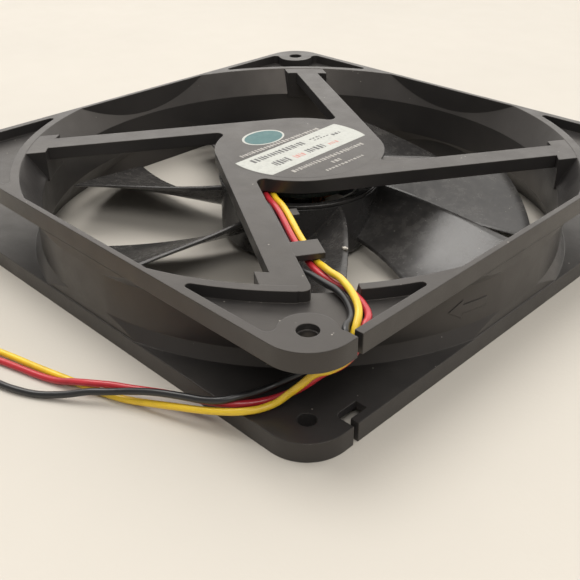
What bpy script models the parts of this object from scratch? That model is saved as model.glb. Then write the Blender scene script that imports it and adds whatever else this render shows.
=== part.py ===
"""A 140 mm square, 25 mm thick axial case fan with a three-wire lead.

The fan's axis is Z, the frame stands on z = 0 and the side with the struts and the label faces up.
Lengths are written in millimetres and turned into metres by mm().
"""

import math

import bmesh
import bpy
from mathutils import Matrix, Vector

# Frame.
SIDE = 140.0
HEIGHT = 25.0
CORNER_R = 9.8
FLANGE_T = 4.5
PLATE_T = 1.8
LIP_INNER = 68.0
BORE_LIP = 68.7
BORE_R = 68.2
BORE_MOUTH_R = 72.7
FLARE_H = 7.5
DUCT_WALL = 1.9
DUCT_STEP = 0.3
RIM_R = 74.9
TIP_R = 0.9
SCREW_AT = 62.25
SCREW_R = 1.95
SCREW_MOUTH_R = 2.2
SCREW_MOUTH_H = 1.3
BOSS_R = 5.8
BOSS_FILLET = 1.5
SLOT = (65.2, 68.0, -57.7, -51.5)
SLIT = (-57.6, -56.2)
NOTCH_DEG = (-46.2, -36.9)

# Motor base and the four struts that carry it. Offsets are measured across a strut from the fan's axis.
BASE_R = 22.75
BASE_Z = (21.45, 24.28)
RECESS_R = 22.45
STRUT_Z = (21.5, 24.9)
STRUT_DEG = -31.5
STRUT_OFFSET = (16.0, 22.7)
STRUT_FILLET = 2.0
FOOT_R = 67.7
FOOT_W = 2.9
FOOT_END_R = 73.9
FOOT_INSET = 0.02
FOOT_BLOCKS = ((69.8, 16.5, 20.4), (70.8, 19.3, 22.0))
GUSSET = ((15.0, -9.0), (20.2, -10.6), (35.0, -16.4), (15.0, -16.6))
SOCKET_Z = 18.4
SOCKET_WALL = 1.7
THRUST_R = 4.6
THRUST_TOP = 23.2
TAB = (52.2, 58.5, 9.5)
TAB_T = 1.45
LEDGE = (29.2, 32.6, 8.3)
LEDGE_Z = (20.1, 21.2)
LABEL_R = 22.1
LABEL_Z = (24.6, 24.8)

# Rotor.
HUB_R = 21.7
HUB_RIM_R = 22.0
HUB_INNER_R = 20.3
HUB_Z = (0.8, 17.7)
HUB_FACE_Z = 2.4
HUB_EDGE = 2.2
HUB_GROOVE = 0.3
HUB_BOSS = (3.2, 4.0, 6.0)
BLADES = 7
BLADE_TIP_R = 63.8
BLADE_ROOT_R = 21.0
BLADE_T = (1.5, 0.8)
BLADE_DEG = -16.5

# The two long edges of a blade: the constant, linear and square factors of the angle and the height, where
# BLADE_SPAN out from the hub counts as 1. The curve is the power that bends the blade between the edges.
BLADE_SPAN = 45.3
UPPER_EDGE_DEG = (0.0, -39.2, 18.7)
LOWER_EDGE_DEG = (-36.5, -18.5, 0.0)
UPPER_EDGE_Z = (16.0, -4.8, 0.0)
LOWER_EDGE_Z = (4.8, -1.8, 0.0)
BLADE_CURVE = 1.35

# Motor parts turned about the axis: inner and outer radius, low and high end.
YOKE = (19.2, 20.0, 2.7, 16.6)
YOKE_PLATE = (4.4, 3.5)
MAGNET = (16.9, 18.9, 4.2, 15.6)
ROTOR_BUSHING = (1.8, 2.9, 2.7, 7.5)
SHAFT_R = 1.5
SHAFT_NECK = (1.0, 20.4, 21.1)
SHAFT_Z = (3.0, 22.2)
CLIP = (1.3, 3.0, 20.6, 20.9)
BEARING_TUBE = (4.2, 5.2, 8.0, 21.1)
BEARING_BUSH = (1.8, 3.9, 8.6, 19.4)
OIL_RING = (1.9, 3.9, 19.8, 20.2)
THRUST_PAD = (3.5, 22.5, 22.9)
STATOR_Z = (7.2, 13.2)
STATOR_R = (5.6, 8.5, 13.5, 16.3)
STATOR_STEM = 4.0
STATOR_SHOE_DEG = 38.0
INSULATORS = {"insulator_lower": (6.1, 6.9), "insulator_upper": (13.5, 14.3)}
COIL_R = (9.0, 12.2)
COIL_INNER = (5.6, 5.8, 14.6)
COIL_OUTER = (9.2, 4.6, 15.8)
PIN = (7.6, 0.4, 14.6, 18.0)
BOARD = (7.6, 18.5, 18.3, 19.3)

# Lead. Each wire runs from the circuit board along a strut, drops through the slot at a corner of the
# frame and lies on the table. The points of each route are chosen by hand.
WIRE_D = 1.5
WIRE_STEP = 3.0
COLOURS = ("yellow", "red", "black")
LEAD_ROUTES = {
    "yellow": [
        (0.8, -14.0, 20.4), (7.6, -18.2, 20.4), (12.7, -21.3, 20.7), (17.9, -24.5, 21.9),
        (23.0, -27.6, 22.3), (33.0, -33.8, 22.3), (42.8, -39.3, 22.45), (46.2, -40.7, 22.8),
        (49.7, -42.4, 23.6), (53.4, -43.8, 24.4), (57.3, -46.0, 25.1), (60.0, -47.5, 25.1),
        (62.5, -49.2, 25.0), (64.4, -50.9, 24.6), (65.5, -52.5, 24.0), (66.25, -54.0, 23.15),
        (66.65, -54.95, 21.8), (66.8, -55.2, 20.2), (67.0, -56.6, 18.1), (65.6, -59.6, 16.6),
        (63.2, -61.2, 15.3), (60.9, -62.8, 12.2), (58.6, -63.4, 9.4), (56.7, -64.8, 7.0),
        (55.0, -67.6, 6.1), (52.9, -70.0, 5.7), (50.4, -71.5, 5.0), (45.4, -74.0, 4.0),
        (39.4, -76.4, 2.9), (33.5, -78.6, 1.7), (28.7, -80.4, 0.9), (24.6, -81.9, 0.8),
        (20.6, -83.1, 0.8), (16.4, -84.3, 0.8), (11.4, -85.7, 0.8), (5.1, -87.4, 0.8),
        (-0.3, -88.7, 0.8), (-6.2, -90.4, 0.9), (-10.6, -92.2, 1.3), (-13.2, -93.3, 1.75),
    ],
    "red": [
        (0.0, -15.6, 20.4), (6.7, -19.7, 20.4), (11.8, -22.8, 20.7), (16.9, -26.0, 21.9),
        (22.1, -29.1, 22.3), (32.3, -35.4, 22.2), (41.3, -40.3, 22.1), (45.8, -41.9, 21.8),
        (49.5, -42.6, 21.75), (52.8, -43.5, 22.2), (56.4, -44.6, 23.3), (60.2, -45.9, 23.35),
        (62.6, -47.1, 23.35), (64.8, -48.6, 23.35), (66.2, -50.4, 23.5), (66.75, -51.9, 23.25),
        (66.8, -53.1, 21.8), (66.7, -53.4, 20.2), (66.7, -54.7, 18.0), (65.7, -57.2, 16.2),
        (63.5, -59.4, 14.6), (60.6, -61.0, 11.2), (57.3, -61.9, 8.0), (54.4, -63.9, 6.0),
        (51.9, -67.2, 5.5), (49.2, -70.1, 5.5), (46.0, -71.4, 4.7), (41.7, -72.5, 3.8),
        (34.5, -75.2, 2.9), (28.0, -78.8, 2.6), (24.6, -80.7, 2.55), (21.4, -83.0, 2.55),
        (17.6, -85.0, 2.0), (13.8, -86.7, 1.1), (9.4, -88.3, 0.8), (3.5, -90.0, 0.8),
        (-2.1, -91.6, 0.8), (-6.8, -93.2, 1.1), (-11.2, -95.0, 1.75),
    ],
    "black": [
        (-0.8, -17.0, 20.4), (5.8, -21.2, 20.4), (10.9, -24.3, 20.6), (16.0, -27.5, 22.05),
        (21.2, -30.7, 22.2), (31.4, -36.9, 22.1), (42.1, -43.4, 22.1), (46.7, -44.6, 22.5),
        (52.0, -45.7, 23.0), (54.8, -46.4, 23.4), (58.0, -47.5, 23.4), (60.8, -49.2, 23.4),
        (62.8, -50.9, 23.4), (64.0, -52.5, 23.4), (64.7, -54.7, 23.45), (65.85, -56.2, 23.15),
        (66.55, -56.8, 21.7), (66.45, -56.85, 20.3), (65.9, -56.8, 19.3), (62.3, -56.9, 16.2),
        (58.7, -58.4, 12.0), (55.6, -60.1, 9.4), (53.6, -62.2, 8.0), (52.0, -65.4, 7.3),
        (50.3, -69.0, 7.2), (48.2, -71.7, 6.7), (45.0, -73.4, 6.0), (40.8, -75.1, 5.5),
        (35.0, -77.6, 4.7), (30.0, -80.1, 3.6), (26.2, -82.6, 2.8), (22.9, -85.3, 2.5),
        (19.0, -88.6, 1.5), (14.2, -92.0, 0.8), (9.7, -94.3, 0.8), (5.4, -95.7, 0.8),
        (0.2, -96.6, 0.8), (-4.4, -96.9, 1.1), (-9.7, -96.8, 1.75),
    ],
}

# The rest of the lead: a coil of three wires beside each other and two turns high, and the connector.
COIL_AT = (-20.0, -104.0)
COIL_RADII = {"yellow": 10.7, "red": 9.0, "black": 7.3}
COIL_TURNS = 2
COIL_LOW = 1.0
COIL_PITCH = 1.7
TIE_T = 0.6
TIE_W = 2.6
GAP = 0.3
TAIL_ROUTES = {
    "yellow": [
        (-26.9, -93.3, 5.2), (-31.0, -93.3, 4.9), (-37.0, -93.2, 3.5), (-44.0, -92.9, 2.5),
        (-52.0, -92.6, 2.5), (-57.6, -92.5, 2.5),
    ],
    "red": [
        (-28.9, -95.0, 5.2), (-32.0, -95.0, 4.8), (-38.0, -95.0, 3.4), (-45.0, -95.0, 2.5),
        (-52.0, -95.0, 2.5), (-57.6, -95.0, 2.5),
    ],
    "black": [
        (-30.3, -96.7, 5.2), (-33.0, -96.7, 4.7), (-39.0, -96.8, 3.3), (-46.0, -97.2, 2.5),
        (-52.0, -97.5, 2.5), (-57.6, -97.5, 2.5),
    ],
}
PLUG_X = (-68.5, -54.5)
PLUG_Y = -95.0
PLUG_W = 7.7
PLUG_H = 5.2
PIN_PITCH = 2.5
CAVITY = 2.1
RIB_AT = 2.9
RIB_W = 0.8
RIB_H = 0.7

ROUND = 84
SMALL_ROUND = 28
SHARP_DEG = 25


def mm(*values):
    """Millimetres as metres: one number, or a Vector."""
    if len(values) == 1:
        return values[0] * 0.001
    return Vector(values) * 0.001


def clear_scene():
    for thing in list(bpy.data.objects):
        bpy.data.objects.remove(thing, do_unlink=True)
    for mesh in list(bpy.data.meshes):
        bpy.data.meshes.remove(mesh)


def material(name, colour, roughness, metallic=0.0):
    made = bpy.data.materials.get(name) or bpy.data.materials.new(name)
    made.use_nodes = True
    shader = made.node_tree.nodes["Principled BSDF"]
    shader.inputs["Base Color"].default_value = (*colour, 1.0)
    shader.inputs["Roughness"].default_value = roughness
    shader.inputs["Metallic"].default_value = metallic
    made.diffuse_color = (*colour, 1.0)
    return made


def place(name, mesh, finish=None, parent=None):
    """A new object of this mesh, on its parent and with its finish."""
    made = bpy.data.objects.new(name, mesh)
    bpy.context.scene.collection.objects.link(made)
    if finish:
        mesh.materials.clear()
        mesh.materials.append(finish)
    made.parent = parent
    return made


def solid(shape, name="shape"):
    """A mesh of a bmesh, smooth but for its sharp edges."""
    bmesh.ops.recalc_face_normals(shape, faces=shape.faces)
    mesh = bpy.data.meshes.new(name)
    shape.to_mesh(mesh)
    shape.free()
    mesh.shade_smooth()
    mesh.set_sharp_from_angle(angle=math.radians(SHARP_DEG))
    return mesh


def turned(profile, segments=ROUND):
    """The closed outline of (radius, z) points turned about Z. Points on the axis become one vertex."""
    shape = bmesh.new()
    rings = []
    for radius, z in profile:
        if radius == 0:
            rings.append([shape.verts.new(mm(0, 0, z))] * segments)
            continue
        ring = []
        for step in range(segments):
            turn = 2 * math.pi * step / segments
            ring.append(shape.verts.new(mm(radius * math.cos(turn), radius * math.sin(turn), z)))
        rings.append(ring)
    for near, far in zip(rings, rings[1:] + rings[:1]):
        if near[0] is near[1] and far[0] is far[1]:
            continue
        for step in range(segments):
            after = (step + 1) % segments
            corners = [near[step], near[after], far[after], far[step]]
            shape.faces.new(list(dict.fromkeys(corners)))
    return solid(shape)


def washer(inner, outer, low, high, segments=ROUND):
    return turned([(inner, low), (outer, low), (outer, high), (inner, high)], segments)


def prism(outline, low, high):
    """The closed outline of (x, y) points, from z = low to z = high."""
    shape = bmesh.new()
    floor = [shape.verts.new(mm(x, y, low)) for x, y in outline]
    roof = [shape.verts.new(mm(x, y, high)) for x, y in outline]
    shape.faces.new(reversed(floor))
    shape.faces.new(roof)
    count = len(outline)
    for step in range(count):
        after = (step + 1) % count
        shape.faces.new([floor[step], floor[after], roof[after], roof[step]])
    return solid(shape)


def box(low, high):
    corners = [(low[0], low[1]), (high[0], low[1]), (high[0], high[1]), (low[0], high[1])]
    return prism(corners, low[2], high[2])


def arc(centre, radius, start_deg, end_deg, steps):
    points = []
    for step in range(steps + 1):
        turn = math.radians(start_deg + (end_deg - start_deg) * step / steps)
        points.append((centre[0] + radius * math.cos(turn), centre[1] + radius * math.sin(turn)))
    return points


def rod(radius, low, high, segments=SMALL_ROUND):
    return prism(arc((0, 0), radius, 0, 360 * (segments - 1) / segments, segments - 1), low, high)


def rounded_square(half, radius, steps=10):
    outline = []
    for quarter in range(4):
        turn = math.radians(90 * quarter)
        for x, y in arc((half - radius, half - radius), radius, 0, 90, steps):
            outline.append((x * math.cos(turn) - y * math.sin(turn), x * math.sin(turn) + y * math.cos(turn)))
    return outline


def turn_outline(outline, degrees):
    turn = math.radians(degrees)
    cos, sin = math.cos(turn), math.sin(turn)
    return [(x * cos - y * sin, x * sin + y * cos) for x, y in outline]


def combine(body, tools, operation):
    """Joins each tool to the body, or cuts or crops the body with it, and removes the tool."""
    for tool in tools:
        helper = place("helper", tool)
        modifier = body.modifiers.new("combine", "BOOLEAN")
        modifier.operation = operation
        modifier.object = helper
        graph = bpy.context.evaluated_depsgraph_get()
        mesh = bpy.data.meshes.new_from_object(body.evaluated_get(graph))
        body.modifiers.clear()
        old = body.data
        body.data = mesh
        bpy.data.meshes.remove(old)
        bpy.data.objects.remove(helper)
    body.data.shade_smooth()
    body.data.set_sharp_from_angle(angle=math.radians(SHARP_DEG))


def combined(base, tools, operation):
    """The mesh of one solid joined to, cut or cropped by others."""
    body = place("helper_body", base)
    combine(body, tools, operation)
    mesh = body.data
    bpy.data.objects.remove(body)
    return mesh


# The frame: two flanges and a flared duct in one moulding, with the motor base on four struts.


def pocket_outline():
    """The recess in a corner of a flange, between the duct's rim, the lip and the screw boss, at +X +Y."""
    tip_y = LIP_INNER - TIP_R
    tip_x = math.sqrt((RIM_R + TIP_R) ** 2 - tip_y**2)
    tip_deg = math.degrees(math.atan2(tip_y, tip_x))
    fillet_y = LIP_INNER - BOSS_FILLET
    drop = fillet_y - SCREW_AT
    fillet_x = SCREW_AT - math.sqrt((BOSS_R + BOSS_FILLET) ** 2 - drop**2)
    boss_deg = math.degrees(math.atan2(drop, fillet_x - SCREW_AT))
    outline = arc((0, 0), RIM_R, 90 - tip_deg, tip_deg, 14)
    outline += arc((tip_x, tip_y), TIP_R, tip_deg + 180, 90, 5)[1:]
    outline += arc((fillet_x, fillet_y), BOSS_FILLET, 90, boss_deg - 180, 4)
    outline += arc((SCREW_AT, SCREW_AT), BOSS_R, boss_deg, 450 - boss_deg, 10)[1:-1]
    outline += arc((fillet_y, fillet_x), BOSS_FILLET, 270 - boss_deg, 0, 4)
    outline += arc((tip_y, tip_x), TIP_R, 0, -90 - tip_deg, 5)[:-1]
    return outline


def strut_outline(notched):
    """One strut along +X, tangent to the motor base, and a foot that widens where it meets the rim.

    The strut beside the notch for the wires has no foot on that side and ends in a rounded corner.
    """
    inner, outer = -STRUT_OFFSET[0], -STRUT_OFFSET[1]
    end = FOOT_END_R

    def at(radius, y):
        return (math.sqrt(radius**2 - y**2), y)

    outline = [(0.0, outer), at(FOOT_R, outer), at(FOOT_R, outer - FOOT_W), at(end, outer - FOOT_W)]
    if notched:
        outline += [at(end + 0.8, inner - 2.6), at(end + 0.5, inner - 1.2)]
        outline += [at(end - 0.4, inner - 0.3), at(end - 1.6, inner)]
    else:
        outline += [at(end, inner + FOOT_W), at(FOOT_R, inner + FOOT_W), at(FOOT_R, inner)]
    fillet_y = inner + STRUT_FILLET
    fillet_x, _ = at(BASE_R + STRUT_FILLET, fillet_y)
    toward = math.degrees(math.atan2(-fillet_y, -fillet_x)) - 360
    outline += arc((fillet_x, fillet_y), STRUT_FILLET, -90, toward, 5)
    outline.append((0.0, fillet_y))
    return outline


def foot_outline(notched, back_r):
    """The block under a foot. It fills the flare from the face of the foot to a radius in the wall."""
    near_y = STRUT_OFFSET[1] + FOOT_W - FOOT_INSET
    far_y = STRUT_OFFSET[0] + FOOT_INSET - (0.0 if notched else FOOT_W)
    face = [math.degrees(math.asin(y / FOOT_R)) for y in (near_y, far_y)]
    back = [math.degrees(math.asin(y / back_r)) for y in (far_y, near_y)]
    outline = arc((0, 0), FOOT_R + FOOT_INSET, -face[0], -face[1], 4)
    return outline + arc((0, 0), back_r, -back[0], -back[1], 4)


def on_strut(quarter, low, high):
    """A rectangle's outline on a strut, from its corners' distances along and across the strut."""
    corners = [(low[0], -low[1]), (high[0], -low[1]), (high[0], -high[1]), (low[0], -high[1])]
    return turn_outline(corners, STRUT_DEG + 90 * quarter)


def build_frame(finish, parent):
    half = SIDE / 2
    body = place("frame", prism(rounded_square(half, CORNER_R), 0, HEIGHT), finish, parent)
    slope = (BORE_MOUTH_R - BORE_R) / FLARE_H
    mouth = BORE_MOUTH_R + slope
    bore = [(0, -1), (mouth, -1), (BORE_R, FLARE_H), (BORE_R, HEIGHT - FLARE_H)]
    bore += [(mouth, HEIGHT + 1), (0, HEIGHT + 1)]
    sides = prism(rounded_square(BORE_LIP, 6), -2, HEIGHT + 2)
    combine(body, [combined(turned(bore), [sides], "INTERSECT")], "DIFFERENCE")
    wall_r = BORE_R + DUCT_WALL
    end_z = FLANGE_T - 1
    end_r = wall_r + slope * (FLARE_H - end_z)
    duct = [(0, end_z), (end_r, end_z), (wall_r, FLARE_H), (wall_r, HEIGHT - FLARE_H)]
    duct += [(end_r, HEIGHT - end_z), (0, HEIGHT - end_z)]
    duct = combined(turned(duct), [prism(rounded_square(half - DUCT_STEP, 6), 0, HEIGHT)], "INTERSECT")
    channel = box((-half - 9, -half - 9, FLANGE_T), (half + 9, half + 9, HEIGHT - FLANGE_T))
    combine(body, [combined(channel, [duct], "DIFFERENCE")], "DIFFERENCE")
    cut_pockets(body)
    add_struts(body)
    cut_holes(body)


def cut_pockets(body):
    """The recesses in both flanges, and the notch in the rim that the wires leave through."""
    low = HEIGHT - FLANGE_T + PLATE_T
    for quarter in range(4):
        outline = turn_outline(pocket_outline(), 90 * quarter)
        combine(body, [prism(outline, low, HEIGHT + 1)], "DIFFERENCE")
        combine(body, [prism(outline, -1, FLANGE_T - PLATE_T)], "DIFFERENCE")
    start, end = NOTCH_DEG
    notch = arc((0, 0), RIM_R + 1, start, end, 2) + arc((0, 0), BORE_R, end, start, 2)
    combine(body, [prism(notch, low, HEIGHT + 1)], "DIFFERENCE")


def add_struts(body):
    """The motor base on its struts, the socket of the bearing tube, and the two guides for the wires."""
    for quarter in range(4):
        turn_deg = STRUT_DEG + 90 * quarter
        for back_r, low, high in FOOT_BLOCKS:
            outline = turn_outline(foot_outline(quarter == 0, back_r), turn_deg)
            combine(body, [prism(outline, low, high)], "UNION")
        strut = prism(turn_outline(strut_outline(quarter == 0), turn_deg), *STRUT_Z)
        recess = rod(RECESS_R, BASE_Z[1] - 0.3, HEIGHT + 1, ROUND)
        combine(body, [combined(strut, [recess], "DIFFERENCE")], "UNION")
    base_top = BASE_Z[1]
    combine(body, [rod(BASE_R, BASE_Z[0], base_top, ROUND)], "UNION")
    gusset = turn_outline(GUSSET, STRUT_DEG + 90)
    combine(body, [prism(gusset, STRUT_Z[0] + 0.5, base_top - 0.1)], "UNION")
    socket_r = BEARING_TUBE[1] + GAP
    combine(body, [rod(socket_r + SOCKET_WALL, SOCKET_Z, BASE_Z[0] + 1, 48)], "UNION")
    combine(body, [rod(socket_r, SOCKET_Z - 1, BASE_Z[0] + 0.05, 48)], "DIFFERENCE")
    combine(body, [rod(THRUST_R, BASE_Z[0] - 1, THRUST_TOP, 48)], "DIFFERENCE")
    near, far, reach = TAB
    inner = STRUT_OFFSET[0] + 1
    tab = on_strut(0, (near, inner), (far, reach))
    combine(body, [prism(tab, STRUT_Z[1] - TAB_T, STRUT_Z[1] - 0.1)], "UNION")
    near, far, reach = LEDGE
    combine(body, [prism(on_strut(0, (near, inner + 1), (far, reach)), *LEDGE_Z)], "UNION")
    link = on_strut(0, (near + 0.2, inner + 0.8), (far - 0.2, inner - 0.8))
    combine(body, [prism(link, LEDGE_Z[0] + 0.2, STRUT_Z[0] + 1)], "UNION")


def wire_slot():
    """The hole that the wires drop through, and the slit that they are pressed in by."""
    left, right, near, far = SLOT
    middle = (left + right) / 2
    radius = (right - left) / 2
    hole = arc((middle, near + radius), radius, 180, 360, 8) + [(right, far), (left, far)]
    slit = [(middle, SLIT[0]), (SIDE / 2 + 1, SLIT[0]), (SIDE / 2 + 1, SLIT[1]), (middle, SLIT[1])]
    return hole, slit


def cut_holes(body):
    """Screw holes with a wider mouth, and the slot for the wires, in both flanges."""
    for x in (-SCREW_AT, SCREW_AT):
        for y in (-SCREW_AT, SCREW_AT):
            ends = ((SCREW_R, -1, HEIGHT + 1), (SCREW_MOUTH_R, HEIGHT - SCREW_MOUTH_H, HEIGHT + 1))
            for hole in ends + ((SCREW_MOUTH_R, -1, SCREW_MOUTH_H),):
                cutter = rod(*hole)
                cutter.transform(Matrix.Translation(mm(x, y, 0)))
                combine(body, [cutter], "DIFFERENCE")
    for low, high in ((-1, FLANGE_T + 1), (HEIGHT - FLANGE_T - 1, HEIGHT + 1)):
        for outline in wire_slot():
            combine(body, [prism(outline, low, high)], "DIFFERENCE")


# The rotor.


def blade_point(radius, across):
    """A point of the middle surface of a blade: 0 across is its lower, leading edge and 1 its upper one."""
    out = (radius - HUB_R) / BLADE_SPAN
    powers = (1.0, out, out**2)
    upper_deg, lower_deg, upper_z, lower_z = (
        sum(factor * power for factor, power in zip(edge, powers))
        for edge in (UPPER_EDGE_DEG, LOWER_EDGE_DEG, UPPER_EDGE_Z, LOWER_EDGE_Z)
    )
    turn = math.radians(BLADE_DEG + lower_deg + (upper_deg - lower_deg) * across)
    z = lower_z + (upper_z - lower_z) * across**BLADE_CURVE
    return mm(radius * math.cos(turn), radius * math.sin(turn), z)


def blade(number, spans=7, chords=5):
    """One blade, its root inside the hub's wall."""
    shape = bmesh.new()
    skins = ([], [])
    for span in range(spans + 1):
        radius = BLADE_ROOT_R + (BLADE_TIP_R - BLADE_ROOT_R) * span / spans
        rows = ([], [])
        for chord in range(chords + 1):
            across = chord / chords
            middle = blade_point(radius, across)
            step = 0.01
            along = blade_point(radius + 1, across) - middle
            over = blade_point(radius, across + step) - blade_point(radius, max(across - step, 0.0))
            normal = along.cross(over).normalized()
            thick = mm(BLADE_T[0] + (BLADE_T[1] - BLADE_T[0]) * span / spans)
            for side, row in zip((0.5, -0.5), rows):
                row.append(shape.verts.new(middle + normal * thick * side))
        for skin, row in zip(skins, rows):
            skin.append(row)
    for skin in skins:
        for near, far in zip(skin, skin[1:]):
            for corners in zip(near, near[1:], far[1:], far):
                shape.faces.new(corners)
    upper, lower = skins
    for near, far in zip(range(spans), range(1, spans + 1)):
        for edge in (0, -1):
            shape.faces.new([upper[near][edge], upper[far][edge], lower[far][edge], lower[near][edge]])
    for row in (0, -1):
        for chord in range(chords):
            corners = [upper[row][chord], upper[row][chord + 1], lower[row][chord + 1], lower[row][chord]]
            shape.faces.new(corners)
    mesh = solid(shape)
    mesh.transform(Matrix.Rotation(2 * math.pi * number / BLADES, 4, "Z"))
    return mesh


def build_impeller(finish, parent):
    low, high = HUB_Z
    edge = arc((HUB_R - HUB_EDGE, low + HUB_EDGE), HUB_EDGE, -90, 0, 4)
    boss_in, boss_out, boss_top = HUB_BOSS
    hub = [(0, low)] + edge
    groove_r = HUB_R - HUB_GROOVE
    hub += [(HUB_R, high - 1.3), (groove_r, high - 1.1), (groove_r, high - 0.9), (HUB_RIM_R, high - 0.7)]
    hub += [(HUB_RIM_R, high), (HUB_INNER_R, high), (HUB_INNER_R, HUB_FACE_Z)]
    hub += [(boss_out, HUB_FACE_Z), (boss_out, boss_top), (boss_in, boss_top), (boss_in, HUB_FACE_Z)]
    hub.append((0, HUB_FACE_Z))
    body = place("impeller", turned(hub, 56), finish, parent)
    for number in range(BLADES):
        combine(body, [blade(number)], "UNION")


def build_rotor(finishes, parent):
    build_impeller(finishes["dark_plastic"], parent)
    inner, outer, low, high = YOKE
    plate_in, plate_top = YOKE_PLATE
    yoke = [(plate_in, low), (outer, low), (outer, high), (inner, high)]
    yoke += [(inner, plate_top), (plate_in, plate_top)]
    place("rotor_yoke", turned(yoke, 48), finishes["steel"], parent)
    place("rotor_magnet", washer(*MAGNET, 48), finishes["magnet"], parent)
    place("rotor_bushing", washer(*ROTOR_BUSHING, 24), finishes["brass"], parent)
    neck_r, neck_low, neck_high = SHAFT_NECK
    low, high = SHAFT_Z
    shaft = [(0, low), (SHAFT_R - 0.2, low), (SHAFT_R, low + 0.2), (SHAFT_R, neck_low), (neck_r, neck_low)]
    shaft += [(neck_r, neck_high), (SHAFT_R, neck_high), (SHAFT_R, high - 0.5)]
    shaft += [(SHAFT_R - 0.6, high), (0, high)]
    place("shaft", turned(shaft, 20), finishes["steel"], parent)
    place("retaining_clip", washer(*CLIP, 24), finishes["clip_plastic"], parent)


# What stands still inside the motor.


def stator_outline():
    """The four-pole lamination, without its round hole."""
    _, hub, shoe_in, shoe_out = STATOR_R
    half = STATOR_STEM / 2
    outline = []
    hub_deg = math.degrees(math.asin(half / hub))
    stem_deg = math.degrees(math.asin(half / shoe_in))
    for pole in range(4):
        middle = 90 * pole
        outline += arc((0, 0), hub, middle - 90 + hub_deg, middle - hub_deg, 4)
        outline += arc((0, 0), shoe_in, middle - stem_deg, middle - STATOR_SHOE_DEG, 3)
        outline += arc((0, 0), shoe_out, middle - STATOR_SHOE_DEG, middle + STATOR_SHOE_DEG, 10)
        outline += arc((0, 0), shoe_in, middle + STATOR_SHOE_DEG, middle + stem_deg, 3)
    return outline


def stator_plate(low, high):
    return combined(prism(stator_outline(), low, high), [rod(STATOR_R[0], low - 1, high + 1)], "DIFFERENCE")


def winding(number):
    """One copper winding: a rectangular ring round a stem of the stator."""
    near, far = COIL_R
    width, low, high = COIL_OUTER
    ring = box((near, -width / 2, low), (far, width / 2, high))
    width, low, high = COIL_INNER
    ring = combined(ring, [box((near - 1, -width / 2, low), (far + 1, width / 2, high))], "DIFFERENCE")
    ring.transform(Matrix.Rotation(math.pi / 2 * number, 4, "Z"))
    return ring


def turned_to(mesh, degrees):
    mesh.transform(Matrix.Rotation(math.radians(degrees), 4, "Z"))
    return mesh


def build_stator(finishes, parent):
    place("bearing_tube", washer(*BEARING_TUBE, 32), finishes["brass"], parent)
    place("bearing_bush", washer(*BEARING_BUSH, 24), finishes["bronze"], parent)
    place("oil_ring", washer(*OIL_RING, 24), finishes["clip_plastic"], parent)
    place("thrust_pad", rod(*THRUST_PAD), finishes["clip_plastic"], parent)
    place("stator_core", stator_plate(*STATOR_Z), finishes["steel"], parent)
    for name, ends in INSULATORS.items():
        place(name, stator_plate(*ends), finishes["clip_plastic"], parent)
    for number in range(4):
        place(f"winding_{number + 1}", winding(number), finishes["copper"], parent)
        radius, pin_r, low, high = PIN
        pin = rod(pin_r, low, high, 12)
        pin.transform(Matrix.Translation(mm(radius, 0, 0)))
        place(f"winding_pin_{number + 1}", turned_to(pin, 45 + 90 * number), finishes["tin"], parent)
    place("circuit_board", washer(*BOARD, 48), finishes["board"], parent)
    under = BOARD[2] - GAP
    sensor = box((15.2, -2.0, under - 1.2), (17.8, 2.0, under))
    place("hall_sensor", turned_to(sensor, 0), finishes["chip"], parent)
    chip = box((9.6, -3.0, under - 1.5), (14.4, 3.0, under))
    place("driver_chip", turned_to(chip, 225), finishes["chip"], parent)
    capacitor = rod(1.6, under - 3.0, under, 24)
    capacitor.transform(Matrix.Translation(mm(12.2, 0, 0)))
    place("capacitor", turned_to(capacitor, 135), finishes["tin"], parent)


# The lead.


def smooth_route(points, step):
    """Points a step apart on a Catmull-Rom curve through the route's points."""
    points = [mm(*point) for point in points]
    ends = [points[0] * 2 - points[1]] + points + [points[-1] * 2 - points[-2]]
    fine = []
    for before, start, end, after in zip(ends, ends[1:], ends[2:], ends[3:]):
        for part in range(16):
            t = part / 16
            point = 2 * start + (end - before) * t + (2 * before - 5 * start + 4 * end - after) * t**2
            fine.append((point + (3 * start - before - 3 * end + after) * t**3) / 2)
    fine.append(points[-1])
    length = sum((b - a).length for a, b in zip(fine, fine[1:]))
    count = max(2, round(length / mm(step)))
    even = [fine[0]]
    done = 0.0
    for a, b in zip(fine, fine[1:]):
        piece = (b - a).length
        while piece > 0 and len(even) < count and done + piece >= length * len(even) / count:
            even.append(a.lerp(b, (length * len(even) / count - done) / piece))
        done += piece
    return even + [fine[-1]]


def wire(name, points, finish, parent):
    curve = bpy.data.curves.new(name, "CURVE")
    curve.dimensions = "3D"
    curve.bevel_depth = mm(WIRE_D) / 2
    curve.bevel_resolution = 2
    curve.use_fill_caps = True
    line = curve.splines.new("POLY")
    line.points.add(len(points) - 1)
    for point, place_at in zip(line.points, points):
        point.co = (*place_at, 1.0)
    curve.materials.append(finish)
    made = bpy.data.objects.new(name, curve)
    bpy.context.scene.collection.objects.link(made)
    made.parent = parent


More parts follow.
